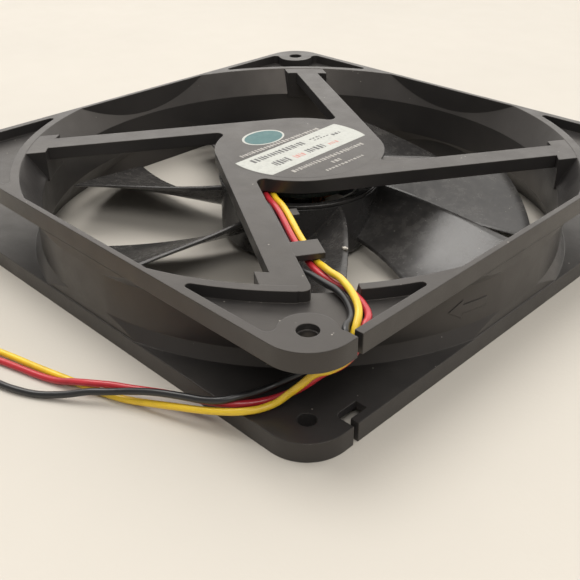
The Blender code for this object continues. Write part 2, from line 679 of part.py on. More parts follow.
def build_coil(finishes, parent):
    """One ring for all three wires' turns, and the tie round it."""
    radii = COIL_RADII.values()
    inner = min(radii) - WIRE_D / 2 - 0.1
    outer = max(radii) + WIRE_D / 2 + 0.1
    high = COIL_LOW + COIL_PITCH * COIL_TURNS + WIRE_D
    ring = washer(inner, outer, COIL_LOW, high, 48)
    ring.transform(Matrix.Translation(mm(*COIL_AT, 0)))
    place("lead_coil", ring, finishes["wire_black"], parent)
    x, y = COIL_AT
    near, far = y - inner + GAP, y - outer - GAP
    low, top = COIL_LOW - GAP, high + GAP
    half = TIE_W / 2
    band = box((x - half, far - TIE_T, low - TIE_T), (x + half, near + TIE_T, top + TIE_T))
    band = combined(band, [box((x - half - 1, far, low), (x + half + 1, near, top))], "DIFFERENCE")
    place("lead_tie", band, finishes["tie_plastic"], parent)


def build_plug(finishes, parent):
    """A three-way socket housing: a cavity through it for each wire, a tin-plated terminal in each."""
    back, front = PLUG_X[1], PLUG_X[0]
    half = PLUG_W / 2
    shell = box((front, PLUG_Y - half, 0), (back, PLUG_Y + half, PLUG_H))
    body = place("connector_housing", shell, None, parent)
    body.data.materials.append(finishes["plug_plastic"])
    middle_z = PLUG_H / 2 - 0.1
    for number in (-1, 0, 1):
        y = PLUG_Y - PIN_PITCH * number
        low = (front - 1, y - CAVITY / 2, middle_z - CAVITY / 2)
        combine(body, [box(low, (back + 1, y + CAVITY / 2, middle_z + CAVITY / 2))], "DIFFERENCE")
        window = box((front + 4, y - 0.5, PLUG_H - 2.5), (front + 7, y + 0.5, PLUG_H + 1))
        combine(body, [window], "DIFFERENCE")
        terminal = box((front + 0.6, y - 0.7, middle_z - 0.7), (back - 3.4, y + 0.7, middle_z + 0.7))
        mouth = box((front, y - 0.35, middle_z - 0.35), (front + 5, y + 0.35, middle_z + 0.35))
        terminal = combined(terminal, [mouth], "DIFFERENCE")
        place(f"terminal_{number + 2}", terminal, finishes["tin"], parent)
    for side in (-1, 1):
        middle_y = PLUG_Y + side * RIB_AT
        low = (front + 2, middle_y - RIB_W / 2, PLUG_H - 1)
        rib = box(low, (back - 2, middle_y + RIB_W / 2, PLUG_H + RIB_H))
        combine(body, [rib], "UNION")


def build_lead(finishes, parent):
    for colour in COLOURS:
        finish = finishes[f"wire_{colour}"]
        wire(f"lead_{colour}", smooth_route(LEAD_ROUTES[colour], WIRE_STEP), finish, parent)
        wire(f"tail_{colour}", smooth_route(TAIL_ROUTES[colour], WIRE_STEP), finish, parent)
    build_coil(finishes, parent)
    build_plug(finishes, parent)


def build_finishes():
    """Colour, roughness and metallic value of each material."""
    table = {
        "black_plastic": ((0.022, 0.021, 0.020), 0.42, 0.0),
        "dark_plastic": ((0.014, 0.014, 0.014), 0.28, 0.0),
        "label_film": ((0.03, 0.029, 0.03), 0.35, 0.0),
        "steel": ((0.45, 0.45, 0.46), 0.35, 1.0),
        "magnet": ((0.05, 0.048, 0.045), 0.6, 0.0),
        "brass": ((0.72, 0.52, 0.22), 0.3, 1.0),
        "bronze": ((0.52, 0.33, 0.16), 0.5, 1.0),
        "copper": ((0.62, 0.25, 0.10), 0.35, 1.0),
        "tin": ((0.66, 0.66, 0.65), 0.3, 1.0),
        "clip_plastic": ((0.75, 0.73, 0.68), 0.45, 0.0),
        "board": ((0.02, 0.16, 0.07), 0.4, 0.0),
        "chip": ((0.02, 0.02, 0.021), 0.5, 0.0),
        "wire_yellow": ((0.75, 0.45, 0.02), 0.32, 0.0),
        "wire_red": ((0.45, 0.012, 0.015), 0.32, 0.0),
        "wire_black": ((0.012, 0.012, 0.013), 0.35, 0.0),
        "tie_plastic": ((0.016, 0.016, 0.016), 0.45, 0.0),
        "plug_plastic": ((0.017, 0.017, 0.017), 0.4, 0.0),
    }
    return {name: material(name, *values) for name, values in table.items()}


def body_root(name):
    root = bpy.data.objects.new(name, None)
    bpy.context.scene.collection.objects.link(root)
    return root


def main():
    clear_scene()
    bpy.context.scene.unit_settings.system = "METRIC"
    finishes = build_finishes()
    still = body_root("frame_root")
    rotor = body_root("rotor_axis")
    build_frame(finishes["black_plastic"], still)
    place("label", rod(LABEL_R, *LABEL_Z, 64), finishes["label_film"], still)
    build_stator(finishes, still)
    build_rotor(finishes, rotor)
    build_lead(finishes, still)


main()
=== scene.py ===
"""The looks of a 140 mm square case fan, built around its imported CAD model.

Lengths are written in millimetres and turned into metres by mm(). The fan's axis is Z and it stands on z = 0.
"""

import math
import random

import bmesh
import bpy
from mathutils import Matrix, Vector

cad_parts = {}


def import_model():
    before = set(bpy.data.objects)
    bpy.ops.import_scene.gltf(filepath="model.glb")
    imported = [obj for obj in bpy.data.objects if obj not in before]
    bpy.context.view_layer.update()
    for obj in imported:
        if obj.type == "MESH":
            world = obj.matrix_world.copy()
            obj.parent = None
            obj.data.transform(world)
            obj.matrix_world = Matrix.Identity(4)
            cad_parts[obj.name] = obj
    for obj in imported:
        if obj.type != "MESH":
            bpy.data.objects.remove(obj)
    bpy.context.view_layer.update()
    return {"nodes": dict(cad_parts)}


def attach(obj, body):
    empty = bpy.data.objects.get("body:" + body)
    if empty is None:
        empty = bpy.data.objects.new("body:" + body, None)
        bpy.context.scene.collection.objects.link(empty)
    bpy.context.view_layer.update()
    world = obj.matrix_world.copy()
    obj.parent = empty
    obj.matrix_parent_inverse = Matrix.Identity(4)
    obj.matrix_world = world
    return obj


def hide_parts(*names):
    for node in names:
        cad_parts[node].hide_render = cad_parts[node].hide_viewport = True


HOUSING = "housing"
ROTOR = "rotor"

# Camera: azimuth, elevation and roll in degrees, its place, its lens, its sensor and its near limit.
CAMERA_DEG = (44.74, 31.35, -0.26)
CAMERA_AT = (144.4, -149.6, 106.4)
CAMERA_LENS = 50.74
CAMERA_SENSOR = 36
CAMERA_NEAR = 5

# Lights: the room's colour and strength, the direction, strength and width of its brighter wall, and area
# lights aimed at the fan, as (name, place, size, power, colour) in metres and watts.
ROOM_COLOUR = (1.0, 0.968, 0.922)
ROOM_LEVEL = 0.36
WALL_TOWARD = (-0.38, 0.8, 0.46)
WALL_LEVEL = 1.6
WALL_COS = (0.12, 0.88)
LIGHTS = (
    ("ceiling", (-1.27, 0.11, 2.72), 2.0, 46.0, (1.0, 0.975, 0.94)),
    ("window", (1.0, 0.2, 2.4), 1.0, 10.0, (1.0, 0.975, 0.93)),
    ("front", (1.1, -1.0, 1.8), 0.9, 11.0, (1.0, 0.975, 0.94)),
)

# How far a shape reaches past the edge of what it cuts or joins, and how near two points are to become one.
PAST = 1
WELD = 0.008
# The number of sides of a large circle and of a small one, the steps in arcs of four lengths, and the angle
# over which an edge is sharp.
ROUND = 240
SMALL_ROUND = 48
FULL_ARC = 30
LONG_ARC = 16
ARC = 12
SHORT_ARC = 10
SHARP_DEG = 25

# The frame, with the same dimensions as the CAD.
SIDE = 140.0
HEIGHT = 25.0
CORNER_R = 9.8
INNER_CORNER_R = 6
CORNER_STEPS = 24
FLANGE_T = 4.5
PLATE_T = 1.8
LIP_INNER = 68.0
BORE_LIP = 68.7
BORE_R = 68.2
BORE_MOUTH_R = 72.7
FLARE_H = 7.5
DUCT_WALL = 1.9
DUCT_STEP = 0.3
# The raised arrow: the angle of its tip and its height on the wall, the length of its head and of the whole,
# the half width of its tip, head and shaft, how far it goes into the wall and stands out, and its steps.
ARROW = (-19.3, 12.2)
ARROW_LENGTH = (3.6, 10.5)
ARROW_HALF = (0.02, 2.3, 1.1)
ARROW_RISE = (-0.1, 0.16)
ARROW_STEPS = (6, 8)
# The seam line under the top flange: its height, its depth, and how far its cutter laps into the flange.
SEAM_W = 0.3
SEAM_DEEP = 0.9
SEAM_OVER = 0.02
RIM_R = 74.9
RIM_STEPS = 40
TIP_R = 0.9
SCREW_AT = 62.25
SCREW_R = 1.95
SCREW_MOUTH_R = 2.2
SCREW_MOUTH_H = 1.3
BOSS_R = 5.8
BOSS_FILLET = 1.5
# The slot for the wires, by its ends in x and in y, the slit from it to the frame's side, by its ends in y,
# and the notch in the duct's rim.
SLOT = (65.2, 68.0, -57.7, -51.5)
SLIT = (-57.6, -56.2)
NOTCH_DEG = (-46.2, -36.9)

# The motor base, whose top lies just under the struts' top, and its struts. Distances across a strut are from
# the fan's axis. A foot has the radius of its face, its width on each side, the radius of its end, and the
# small step back of each block under it.
BASE_R = 22.75
BASE_LOW = 21.45
BASE_DROP = 0.01
STRUT_Z = (21.5, 24.9)
STRUT_DEG = -31.5
STRUT_OFFSET = (16.0, 22.7)
STRUT_FILLET = 2.0
FOOT_R = 67.7
FOOT_W = 2.9
FOOT_END_R = 73.9
FOOT_INSET = 0.02
# The blocks under a foot: the radius of the back, the low end and the high end.
FOOT_BLOCKS = ((69.8, 16.5, 20.4), (70.8, 19.3, 22.0))
# The rounded end of the notched strut: how far each point lies past FOOT_END_R, and in from the inner side.
NOTCHED_END = ((0.8, -2.6), (0.74, -1.8), (0.5, -1.1), (0.1, -0.55), (-0.5, -0.2), (-1.6, 0.0))
GUSSET = ((15.0, -9.0), (20.2, -10.6), (35.0, -16.4), (15.0, -16.6))
GUSSET_Z = (22.0, 24.2)
# The socket of the bearing tube: its inner and outer radius, its low end and the roof of its recess.
SOCKET = (5.5, 7.2, 18.4)
SOCKET_ROOF = 22.05
# The guides for the wires: their ends along the strut, and how far out they reach across it.
TAB = (52.2, 58.5, 9.5)
TAB_T = 1.45
TAB_DROP = 0.1
LEDGE = (29.2, 32.6, 8.3)
LEDGE_Z = (20.1, 21.2)
# The link between the strut and the ledge: how far it is set in from the ledge's ends, and its half width.
LINK_INSET = 0.2
LINK_HALF = 0.8

# The impeller.
HUB_R = 21.7
HUB_RIM_R = 22.0
HUB_INNER_R = 20.3
HUB_Z = (0.8, 17.7)
HUB_FACE_Z = 2.4
HUB_EDGE = 2.2
HUB_RIM_EDGE = 0.15
# The groove round the hub, and its four corners measured down from the rim.
HUB_GROOVE = 0.3
HUB_GROOVE_DOWN = (1.3, 1.1, 0.9, 0.7)
HUB_BOSS = (3.2, 4.0, 6.0)
HUB_SIDES = 168
BLADES = 7
BLADE_TIP_R = 63.8
BLADE_ROOT_R = 21.0
BLADE_T = (1.5, 0.8)
BLADE_DEG = -16.5

# The two long edges of a blade: the constant, linear and square factors of the angle and the height, where
# BLADE_SPAN out from the hub counts as 1. The curve is the power that bends the blade between the edges.
BLADE_SPAN = 45.3
UPPER_EDGE_DEG = (0.0, -39.2, 18.7)
LOWER_EDGE_DEG = (-36.5, -18.5, 0.0)
UPPER_EDGE_Z = (16.0, -4.8, 0.0)
LOWER_EDGE_Z = (4.8, -1.8, 0.0)
BLADE_CURVE = 1.35
# A blade's mesh: its steps outwards and across, and how far the steps across crowd towards the edges.
BLADE_STEPS = (30, 26)
BLADE_CROWD = 0.35
# A blade's edges: each takes one part in this many of the width. Then how thin they get, how thin the tip is,
# and the angles over which an edge is sharp on a blade and on the finished impeller.
BLADE_EDGE = 24
BLADE_EDGE_THIN = 0.25
BLADE_TIP_THIN = 0.6
BLADE_SHARP_DEG = 50
IMPELLER_SHARP_DEG = 35
# The crumb of glue: its place, its half sizes, how wavy and how rough it is, and its angle for a sharp edge.
FLECK_AT = (34.3, -20.0, 14.5)
FLECK_SIZE = (0.75, 0.5, 0.35)
FLECK_WAVE = 0.35
FLECK_ROUGH = 0.1
FLECK_SHARP_DEG = 60

# The label. Its film and its ink are thin solids, and the oval's fill stands a little over the oval.
LABEL_R = 20.8
LABEL_Z = 24.912
FILM_T = 0.03
INK_SUNK = 0.01
INK_T = 0.02
FILL_OVER = 0.01
# The pale band: half its width, the radius of its two ends, its place in x and its turn.
BAND_HALF = 6.1
BAND_R = 20.2
BAND_X = 1.7
BAND_DEG = 2
BAND_STEPS = 20
# The oval and its fill: their middles and half sizes.
OVAL = ((-12.0, -2.0), (4.9, 6.6))
OVAL_FILL = ((-11.9, -2.0), (4.3, 6.0))
OVAL_STEPS = 64
# Each row of bars: its x, its ends in y, the height of its bars and its ink.
LABEL_ROWS = (
    (-5.9, -16.0, 13.5, 1.5, "pale"), (10.6, -13.5, 13.0, 1.5, "pale"), (13.6, -2.0, 1.2, 1.4, "pale"),
    (16.2, -7.0, 7.0, 0.9, "pale"), (-1.2, -16.4, 2.6, 2.3, "ink"), (-1.6, 5.4, 9.5, 0.6, "ink"),
    (-0.3, 6.0, 11.5, 0.5, "ink"), (3.9, -13.5, -8.0, 2.9, "ink"), (4.3, -6.2, -2.4, 2.2, "red"),
    (3.9, -1.2, 5.0, 2.4, "ink"), (4.5, 6.8, 10.4, 1.4, "red"), (0.4, 12.5, 16.0, 1.2, "ink"),
)
# The bars: the range of a bar's room and of the gap after it, the part of the room that is ink, and the
# heights to draw from.
BAR_ROOM = (0.45, 1.1)
BAR_GAP = (0.18, 0.45)
BAR_INKED = 0.82
BAR_HEIGHTS = (1.0, 1.0, 0.8)

# The lead. Each wire runs from the motor base to the slot, lies on the table and ends in a coil and a
# connector. The points of its route are given, and are the same as in the CAD.
WIRE_D = 1.5
WIRE_STEP = 1
WIRE_BEVEL_STEPS = 5
ROUTE_STEPS = 16
COLOURS = ("yellow", "red", "black")
LEAD_ROUTES = {
    "yellow": [
        (0.8, -14.0, 20.4), (7.6, -18.2, 20.4), (12.7, -21.3, 20.7), (17.9, -24.5, 21.9),
        (23.0, -27.6, 22.3), (33.0, -33.8, 22.3), (42.8, -39.3, 22.45), (46.2, -40.7, 22.8),
        (49.7, -42.4, 23.6), (53.4, -43.8, 24.4), (57.3, -46.0, 25.1), (60.0, -47.5, 25.1),
        (62.5, -49.2, 25.0), (64.4, -50.9, 24.6), (65.5, -52.5, 24.0), (66.25, -54.0, 23.15),
        (66.65, -54.95, 21.8), (66.8, -55.2, 20.2), (67.0, -56.6, 18.1), (65.6, -59.6, 16.6),
        (63.2, -61.2, 15.3), (60.9, -62.8, 12.2), (58.6, -63.4, 9.4), (56.7, -64.8, 7.0),
        (55.0, -67.6, 6.1), (52.9, -70.0, 5.7), (50.4, -71.5, 5.0), (45.4, -74.0, 4.0),
        (39.4, -76.4, 2.9), (33.5, -78.6, 1.7), (28.7, -80.4, 0.9), (24.6, -81.9, 0.8),
        (20.6, -83.1, 0.8), (16.4, -84.3, 0.8), (11.4, -85.7, 0.8), (5.1, -87.4, 0.8),
        (-0.3, -88.7, 0.8), (-6.2, -90.4, 0.9), (-10.6, -92.2, 1.3), (-13.2, -93.3, 1.75),
    ],
    "red": [
        (0.0, -15.6, 20.4), (6.7, -19.7, 20.4), (11.8, -22.8, 20.7), (16.9, -26.0, 21.9),
        (22.1, -29.1, 22.3), (32.3, -35.4, 22.2), (41.3, -40.3, 22.1), (45.8, -41.9, 21.8),
        (49.5, -42.6, 21.75), (52.8, -43.5, 22.2), (56.4, -44.6, 23.3), (60.2, -45.9, 23.35),
        (62.6, -47.1, 23.35), (64.8, -48.6, 23.35), (66.2, -50.4, 23.5), (66.75, -51.9, 23.25),
        (66.8, -53.1, 21.8), (66.7, -53.4, 20.2), (66.7, -54.7, 18.0), (65.7, -57.2, 16.2),
        (63.5, -59.4, 14.6), (60.6, -61.0, 11.2), (57.3, -61.9, 8.0), (54.4, -63.9, 6.0),
        (51.9, -67.2, 5.5), (49.2, -70.1, 5.5), (46.0, -71.4, 4.7), (41.7, -72.5, 3.8),
        (34.5, -75.2, 2.9), (28.0, -78.8, 2.6), (24.6, -80.7, 2.55), (21.4, -83.0, 2.55),
        (17.6, -85.0, 2.0), (13.8, -86.7, 1.1), (9.4, -88.3, 0.8), (3.5, -90.0, 0.8),
        (-2.1, -91.6, 0.8), (-6.8, -93.2, 1.1), (-11.2, -95.0, 1.75),
    ],
    "black": [
        (-0.8, -17.0, 20.4), (5.8, -21.2, 20.4), (10.9, -24.3, 20.6), (16.0, -27.5, 22.05),
        (21.2, -30.7, 22.2), (31.4, -36.9, 22.1), (42.1, -43.4, 22.1), (46.7, -44.6, 22.5),
        (52.0, -45.7, 23.0), (54.8, -46.4, 23.4), (58.0, -47.5, 23.4), (60.8, -49.2, 23.4),
        (62.8, -50.9, 23.4), (64.0, -52.5, 23.4), (64.7, -54.7, 23.45), (65.85, -56.2, 23.15),
        (66.55, -56.8, 21.7), (66.45, -56.85, 20.3), (65.9, -56.8, 19.3), (62.3, -56.9, 16.2),
        (58.7, -58.4, 12.0), (55.6, -60.1, 9.4), (53.6, -62.2, 8.0), (52.0, -65.4, 7.3),
        (50.3, -69.0, 7.2), (48.2, -71.7, 6.7), (45.0, -73.4, 6.0), (40.8, -75.1, 5.5),
        (35.0, -77.6, 4.7), (30.0, -80.1, 3.6), (26.2, -82.6, 2.8), (22.9, -85.3, 2.5),
        (19.0, -88.6, 1.5), (14.2, -92.0, 0.8), (9.7, -94.3, 0.8), (5.4, -95.7, 0.8),
        (0.2, -96.6, 0.8), (-4.4, -96.9, 1.1), (-9.7, -96.8, 1.75),
    ],
}
COIL_AT = (-20.0, -104.0)
COIL_RADII = {"yellow": 10.7, "red": 9.0, "black": 7.3}
COIL_TURNS = 2
COIL_STEPS = 14
COIL_LOW = 1.75
COIL_PITCH = 1.7
TAIL_ROUTES = {
    "yellow": [
        (-26.9, -93.3, 5.2), (-31.0, -93.3, 4.9), (-37.0, -93.2, 3.5), (-44.0, -92.9, 2.5),
        (-52.0, -92.6, 2.5), (-57.6, -92.5, 2.5),
    ],
    "red": [
        (-28.9, -95.0, 5.2), (-32.0, -95.0, 4.8), (-38.0, -95.0, 3.4), (-45.0, -95.0, 2.5),
        (-52.0, -95.0, 2.5), (-57.6, -95.0, 2.5),
    ],
    "black": [
        (-30.3, -96.7, 5.2), (-33.0, -96.7, 4.7), (-39.0, -96.8, 3.3), (-46.0, -97.2, 2.5),
        (-52.0, -97.5, 2.5), (-57.6, -97.5, 2.5),
    ],
}

# The table: half its side in metres, and how far it lies under the fan.
TABLE_HALF = 3.0
TABLE_DROP = 0.05

# The materials' nodes: the samples of a rounded edge, and the sockets of a range.
BEVEL_SAMPLES = 6
RANGE_SOCKETS = ("From Min", "From Max", "To Min", "To Max")
# The CAD pieces on the lead, and the pieces that keep their CAD shape, by their finish.
CAD_FINISHES = {
    "steel": ("stator_core", "rotor_yoke", "shaft"),
    "magnet": ("rotor_magnet",),
    "brass": ("bearing_tube", "rotor_bushing"),
    "bronze": ("bearing_bush",),
    "copper": ("winding_1", "winding_2", "winding_3", "winding_4"),
    "tin": (
        "winding_pin_1", "winding_pin_2", "winding_pin_3", "winding_pin_4", "capacitor",
        "terminal_1", "terminal_2", "terminal_3",
    ),
    "nylon": ("oil_ring", "thrust_pad", "insulator_lower", "insulator_upper", "retaining_clip"),
    "board": ("circuit_board",),
    "chip": ("hall_sensor", "driver_chip"),
    "tie": ("lead_tie",),
    "plug": ("connector_housing",),
}


def mm(*values):
    """Millimetres as metres: one number, or a Vector."""
    if len(values) == 1:
        return values[0] * 0.001
    return Vector(values) * 0.001


def add(name, data):
    made = bpy.data.objects.new(name, data)
    bpy.context.scene.collection.objects.link(made)
    return made


# Camera.


def facing(azimuth, elevation, roll, place):
    """The matrix of a camera that looks back along this direction."""
    azimuth, elevation, roll = (math.radians(x) for x in (azimuth, elevation, roll))
    level = math.cos(elevation)
    back = Vector((math.sin(azimuth) * level, -math.cos(azimuth) * level, math.sin(elevation)))
    right = Vector((0, 0, 1)).cross(back).normalized()
    up = back.cross(right)
    cos, sin = math.cos(roll), math.sin(roll)
    matrix = Matrix((cos * right + sin * up, cos * up - sin * right, back)).transposed().to_4x4()
    matrix.translation = place
    return matrix


def build_camera():
    data = bpy.data.cameras.new("camera")
    data.lens = CAMERA_LENS
    data.sensor_width = CAMERA_SENSOR
    data.clip_start = mm(CAMERA_NEAR)
    camera = add("camera", data)
    camera.matrix_world = facing(*CAMERA_DEG, mm(*CAMERA_AT))
    bpy.context.scene.camera = camera


# Materials. Their patterns and depths are in metres, in each piece's own coordinates.


class Finish:
    """A material under construction: its nodes, and the coordinates that they read."""

    def __init__(self, name):
        self.material = bpy.data.materials.new(name)
        self.material.use_nodes = True
        self.nodes = self.material.node_tree.nodes
        self.links = self.material.node_tree.links
        self.shader = self.nodes["Principled BSDF"]
        self.place = self.nodes.new("ShaderNodeTexCoord").outputs["Object"]

    def join(self, source, node, socket):
        self.links.new(source, node.inputs[socket])

    def set(self, **values):
        for name, value in values.items():
            self.shader.inputs[name.replace("_", " ")].default_value = value
        return self

    def stretched(self, scale):
        """The coordinates, stretched along each axis by its own scale."""
        node = self.nodes.new("ShaderNodeMapping")
        node.inputs["Scale"].default_value = scale
        self.join(self.place, node, "Vector")
        return node.outputs["Vector"]

    def noise(self, scale, detail=4.0, rough=0.55, place=None):
        node = self.nodes.new("ShaderNodeTexNoise")
        node.inputs["Scale"].default_value = scale
        node.inputs["Detail"].default_value = detail
        node.inputs["Roughness"].default_value = rough
        self.join(place or self.place, node, "Vector")
        return node.outputs["Fac"]

    def span(self, value, low, high, to_low, to_high):
        node = self.nodes.new("ShaderNodeMapRange")
        for name, number in zip(RANGE_SOCKETS, (low, high, to_low, to_high)):
            node.inputs[name].default_value = number
        self.join(value, node, "Value")
        return node.outputs["Result"]

    def cloud(self, scale, detail, rough=0.55, low=0.35, high=0.65):
        """A noise whose values from low to high become 0 to 1."""
        return self.span(self.noise(scale, detail, rough), low, high, 0.0, 1.0)

    def math(self, kind, first, second):
        node = self.nodes.new("ShaderNodeMath")
        node.operation = kind
        for index, value in enumerate((first, second)):
            if isinstance(value, float):
                node.inputs[index].default_value = value
            else:
                self.links.new(value, node.inputs[index])
        return node.outputs["Value"]

    def mix(self, factor, first, second):
        """A colour between two; each is a colour or a socket."""
        node = self.nodes.new("ShaderNodeMix")
        node.data_type = "RGBA"
        self.links.new(factor, node.inputs["Factor"])
        for socket, value in ((node.inputs[6], first), (node.inputs[7], second)):
            if isinstance(value, tuple):
                socket.default_value = (*value, 1.0)
            else:
                self.links.new(value, socket)
        return node.outputs[2]

    def specks(self, scale, size, amount, seed=0.0):
        """Small round specks, on some of the cells of a Voronoi pattern: 1 on a speck and 0 off it."""
        cells = self.nodes.new("ShaderNodeTexVoronoi")
        cells.inputs["Scale"].default_value = scale
        moved = self.nodes.new("ShaderNodeMapping")
        moved.inputs["Location"].default_value = (seed, seed * 0.7, seed * 1.3)
        self.join(self.place, moved, "Vector")
        self.join(moved.outputs["Vector"], cells, "Vector")
        near = self.span(cells.outputs["Distance"], size, size * 0.6, 0.0, 1.0)
        pick = self.nodes.new("ShaderNodeSeparateColor")
        self.join(cells.outputs["Color"], pick, "Color")
        chosen = self.math("LESS_THAN", pick.outputs["Red"], amount)
        return self.math("MULTIPLY", near, chosen)

    def upward(self):
        """How far the surface faces up, from 0 to 1."""
        normal = self.nodes.new("ShaderNodeNewGeometry").outputs["Normal"]
        split = self.nodes.new("ShaderNodeSeparateXYZ")
        self.join(normal, split, "Vector")
        return self.span(split.outputs["Z"], 0.1, 0.9, 0.0, 1.0)

    def bumps(self, layers, bevel=0.0):
        """Bump from (height, depth in metres) layers, on edges rounded by bevel metres."""
        normal = None
        if bevel:
            rounded = self.nodes.new("ShaderNodeBevel")
            rounded.samples = BEVEL_SAMPLES
            rounded.inputs["Radius"].default_value = bevel
            normal = rounded.outputs["Normal"]
        for height, depth in layers:
            node = self.nodes.new("ShaderNodeBump")
            node.inputs["Distance"].default_value = depth
            self.join(height, node, "Height")
            if normal:
                self.join(normal, node, "Normal")
            normal = node.outputs["Normal"]
        self.join(normal, self.shader, "Normal")
        return self

    def mottle(self, scale, detail, low, high):
        """A roughness that wanders between low and high."""
        return self.roughness(self.span(self.noise(scale, detail), 0.3, 0.7, low, high))

    def colour(self, source):
        self.join(source, self.shader, "Base Color")
        return self

    def roughness(self, source):
        self.join(source, self.shader, "Roughness")
        return self


def frame_plastic(name, bevel):
    made = Finish(name).set(Specular_IOR_Level=0.5, Specular_Tint=(1.0, 0.91, 0.82, 1.0))
    tone = made.mix(made.cloud(38, 5), (0.0275, 0.0262, 0.0262), (0.0375, 0.0355, 0.0352))
    dust = made.math("MULTIPLY", made.specks(560, 0.12, 0.10), made.upward())
    # A paler tone in patches on upward faces.
    pale_tops = made.math("MULTIPLY", made.span(made.noise(90, 6), 0.48, 0.75, 0.0, 0.35), made.upward())
    tone = made.mix(pale_tops, tone, (0.075, 0.07, 0.063))
    made.colour(made.mix(dust, tone, (0.32, 0.30, 0.27)))
    made.mottle(160, 5, 0.30, 0.42)
    fine = made.noise(4200, 3, 0.6)
    wide = made.noise(170, 3)
    return made.bumps([(wide, 0.00006), (fine, 0.000018), (dust, 0.00004)], bevel).material


def blade_plastic():
    made = Finish("glossy_black_plastic").set(Specular_IOR_Level=0.55)
    tone = made.mix(made.cloud(45, 4), (0.030, 0.029, 0.029), (0.040, 0.038, 0.037))
    dust = made.math("MULTIPLY", made.specks(700, 0.10, 0.12, 3.1), made.upward())
    patches = made.math("MULTIPLY", made.noise(95, 7, 0.7), made.noise(430, 5, 0.65))
    # Paler patches on upward faces: partly a dust film, partly a painted highlight standing in for the
    # blade's sheen.
    dust_film_and_sheen = made.math("MULTIPLY", made.span(patches, 0.2, 0.45, 0.0, 0.4), made.upward())
    tone = made.mix(dust_film_and_sheen, tone, (0.135, 0.128, 0.118))
    made.colour(made.mix(dust, tone, (0.36, 0.34, 0.31)))
    made.roughness(made.span(patches, 0.12, 0.45, 0.19, 0.34))
    flow = made.noise(60, 3)
    fine = made.noise(3600, 3)
    return made.bumps([(flow, 0.0001), (fine, 0.000008), (dust, 0.00003)], bevel=0.0002).material


def moulded(name, low, high, rough, scale=300):
    """A plain moulded plastic between two tones."""
    made = Finish(name)
    made.colour(made.mix(made.cloud(scale, 4), low, high))
    made.mottle(scale * 3, 4, *rough)
    return made.bumps([(made.noise(5000, 3), 0.00001)], bevel=0.0002).material


def metal(name, low, high, rough, stretch=(1, 1, 1)):
    """A bare metal with fine marks of its working, drawn out along the axis with the smallest stretch."""
    made = Finish(name).set(Metallic=1.0)
    grain = made.noise(900, 6, 0.7, made.stretched(stretch))
    made.colour(made.mix(made.span(grain, 0.3, 0.7, 0.0, 1.0), low, high))
    made.roughness(made.span(grain, 0.3, 0.7, *rough))
    return made.bumps([(grain, 0.000012)], bevel=0.0001).material


def insulation(name, low, high):
    """Glossy extruded insulation: a long faint wave, fine pits and a little grime."""
    made = Finish(name).set(Specular_IOR_Level=0.55, Coat_Weight=0.15, Coat_Roughness=0.2)
    grime = made.span(made.noise(260, 6, 0.6), 0.5, 0.8, 0.0, 0.5)
    body = made.mix(made.cloud(120, 3, low=0.3, high=0.7), low, high)
    made.colour(made.mix(grime, body, tuple(x * 0.6 + 0.01 for x in low)))
    made.mottle(900, 5, 0.28, 0.42)
    return made.bumps([(made.noise(700, 3), 0.00003), (made.noise(6000, 2), 0.000006)]).material


def printed(name, low, high):
    """Ink: nearly even, with worn pinholes."""
    made = Finish(name).set(Specular_IOR_Level=0.3)
    made.colour(made.mix(made.cloud(900, 6, 0.7, 0.42, 0.75), low, high))
    made.mottle(500, 4, 0.35, 0.45)
    return made.bumps([(made.noise(2600, 3), 0.000006)]).material


def copper_winding():
    """Enamelled wire wound tight: fine ridges round the winding."""
    made = Finish("enamelled_copper").set(Metallic=1.0, Coat_Weight=0.5, Coat_Roughness=0.15)
    wave = made.nodes.new("ShaderNodeTexWave")
    wave.bands_direction = "Z"
    wave.inputs["Scale"].default_value = 1100
    wave.inputs["Distortion"].default_value = 1.2
    wave.inputs["Detail Scale"].default_value = 0.4
    made.join(made.place, wave, "Vector")
    ridge = wave.outputs["Fac"]
    made.colour(made.mix(ridge, (0.12, 0.04, 0.018), (0.34, 0.13, 0.055)))
    made.mottle(800, 4, 0.22, 0.36)
    return made.bumps([(ridge, 0.00006)], bevel=0.0003).material


def board_mask():
    """Nearly black solder mask over copper tracks."""
    made = Finish("circuit_board_mask").set(Specular_IOR_Level=0.6, Coat_Weight=0.4, Coat_Roughness=0.12)
    tracks = made.nodes.new("ShaderNodeTexBrick")
    tracks.inputs["Scale"].default_value = 240
    tracks.inputs["Mortar Size"].default_value = 0.05
    made.join(made.place, tracks, "Vector")
    copper = made.span(tracks.outputs["Fac"], 0.0, 1.0, 0.0, 0.8)
    body = made.mix(made.cloud(400, 4, low=0.3, high=0.7), (0.008, 0.013, 0.010), (0.012, 0.020, 0.015))
    made.colour(made.mix(copper, body, (0.018, 0.032, 0.022)))
    made.mottle(900, 4, 0.25, 0.38)
    return made.bumps([(tracks.outputs["Fac"], 0.00003)], bevel=0.0001).material


def table_top():
    made = Finish("pale_table").set(Specular_IOR_Level=0.1)
    tone = made.mix(made.cloud(6, 6, 0.6), (0.572, 0.540, 0.487), (0.60, 0.566, 0.51))
    fleck = made.specks(70, 0.02, 0.04, 1.7)
    made.colour(made.mix(fleck, tone, (0.25, 0.22, 0.19)))
    made.mottle(80, 5, 0.5, 0.62)
    return made.bumps([(made.noise(900, 4), 0.00003)]).material


# Meshes.


def solid(shape, name, sharp_deg=SHARP_DEG):
    """The mesh of a bmesh, smooth but for its sharp edges."""
    bmesh.ops.recalc_face_normals(shape, faces=shape.faces)
    mesh = bpy.data.meshes.new(name)
    shape.to_mesh(mesh)
    shape.free()
    mesh.shade_smooth()
    mesh.set_sharp_from_angle(angle=math.radians(sharp_deg))
    return mesh


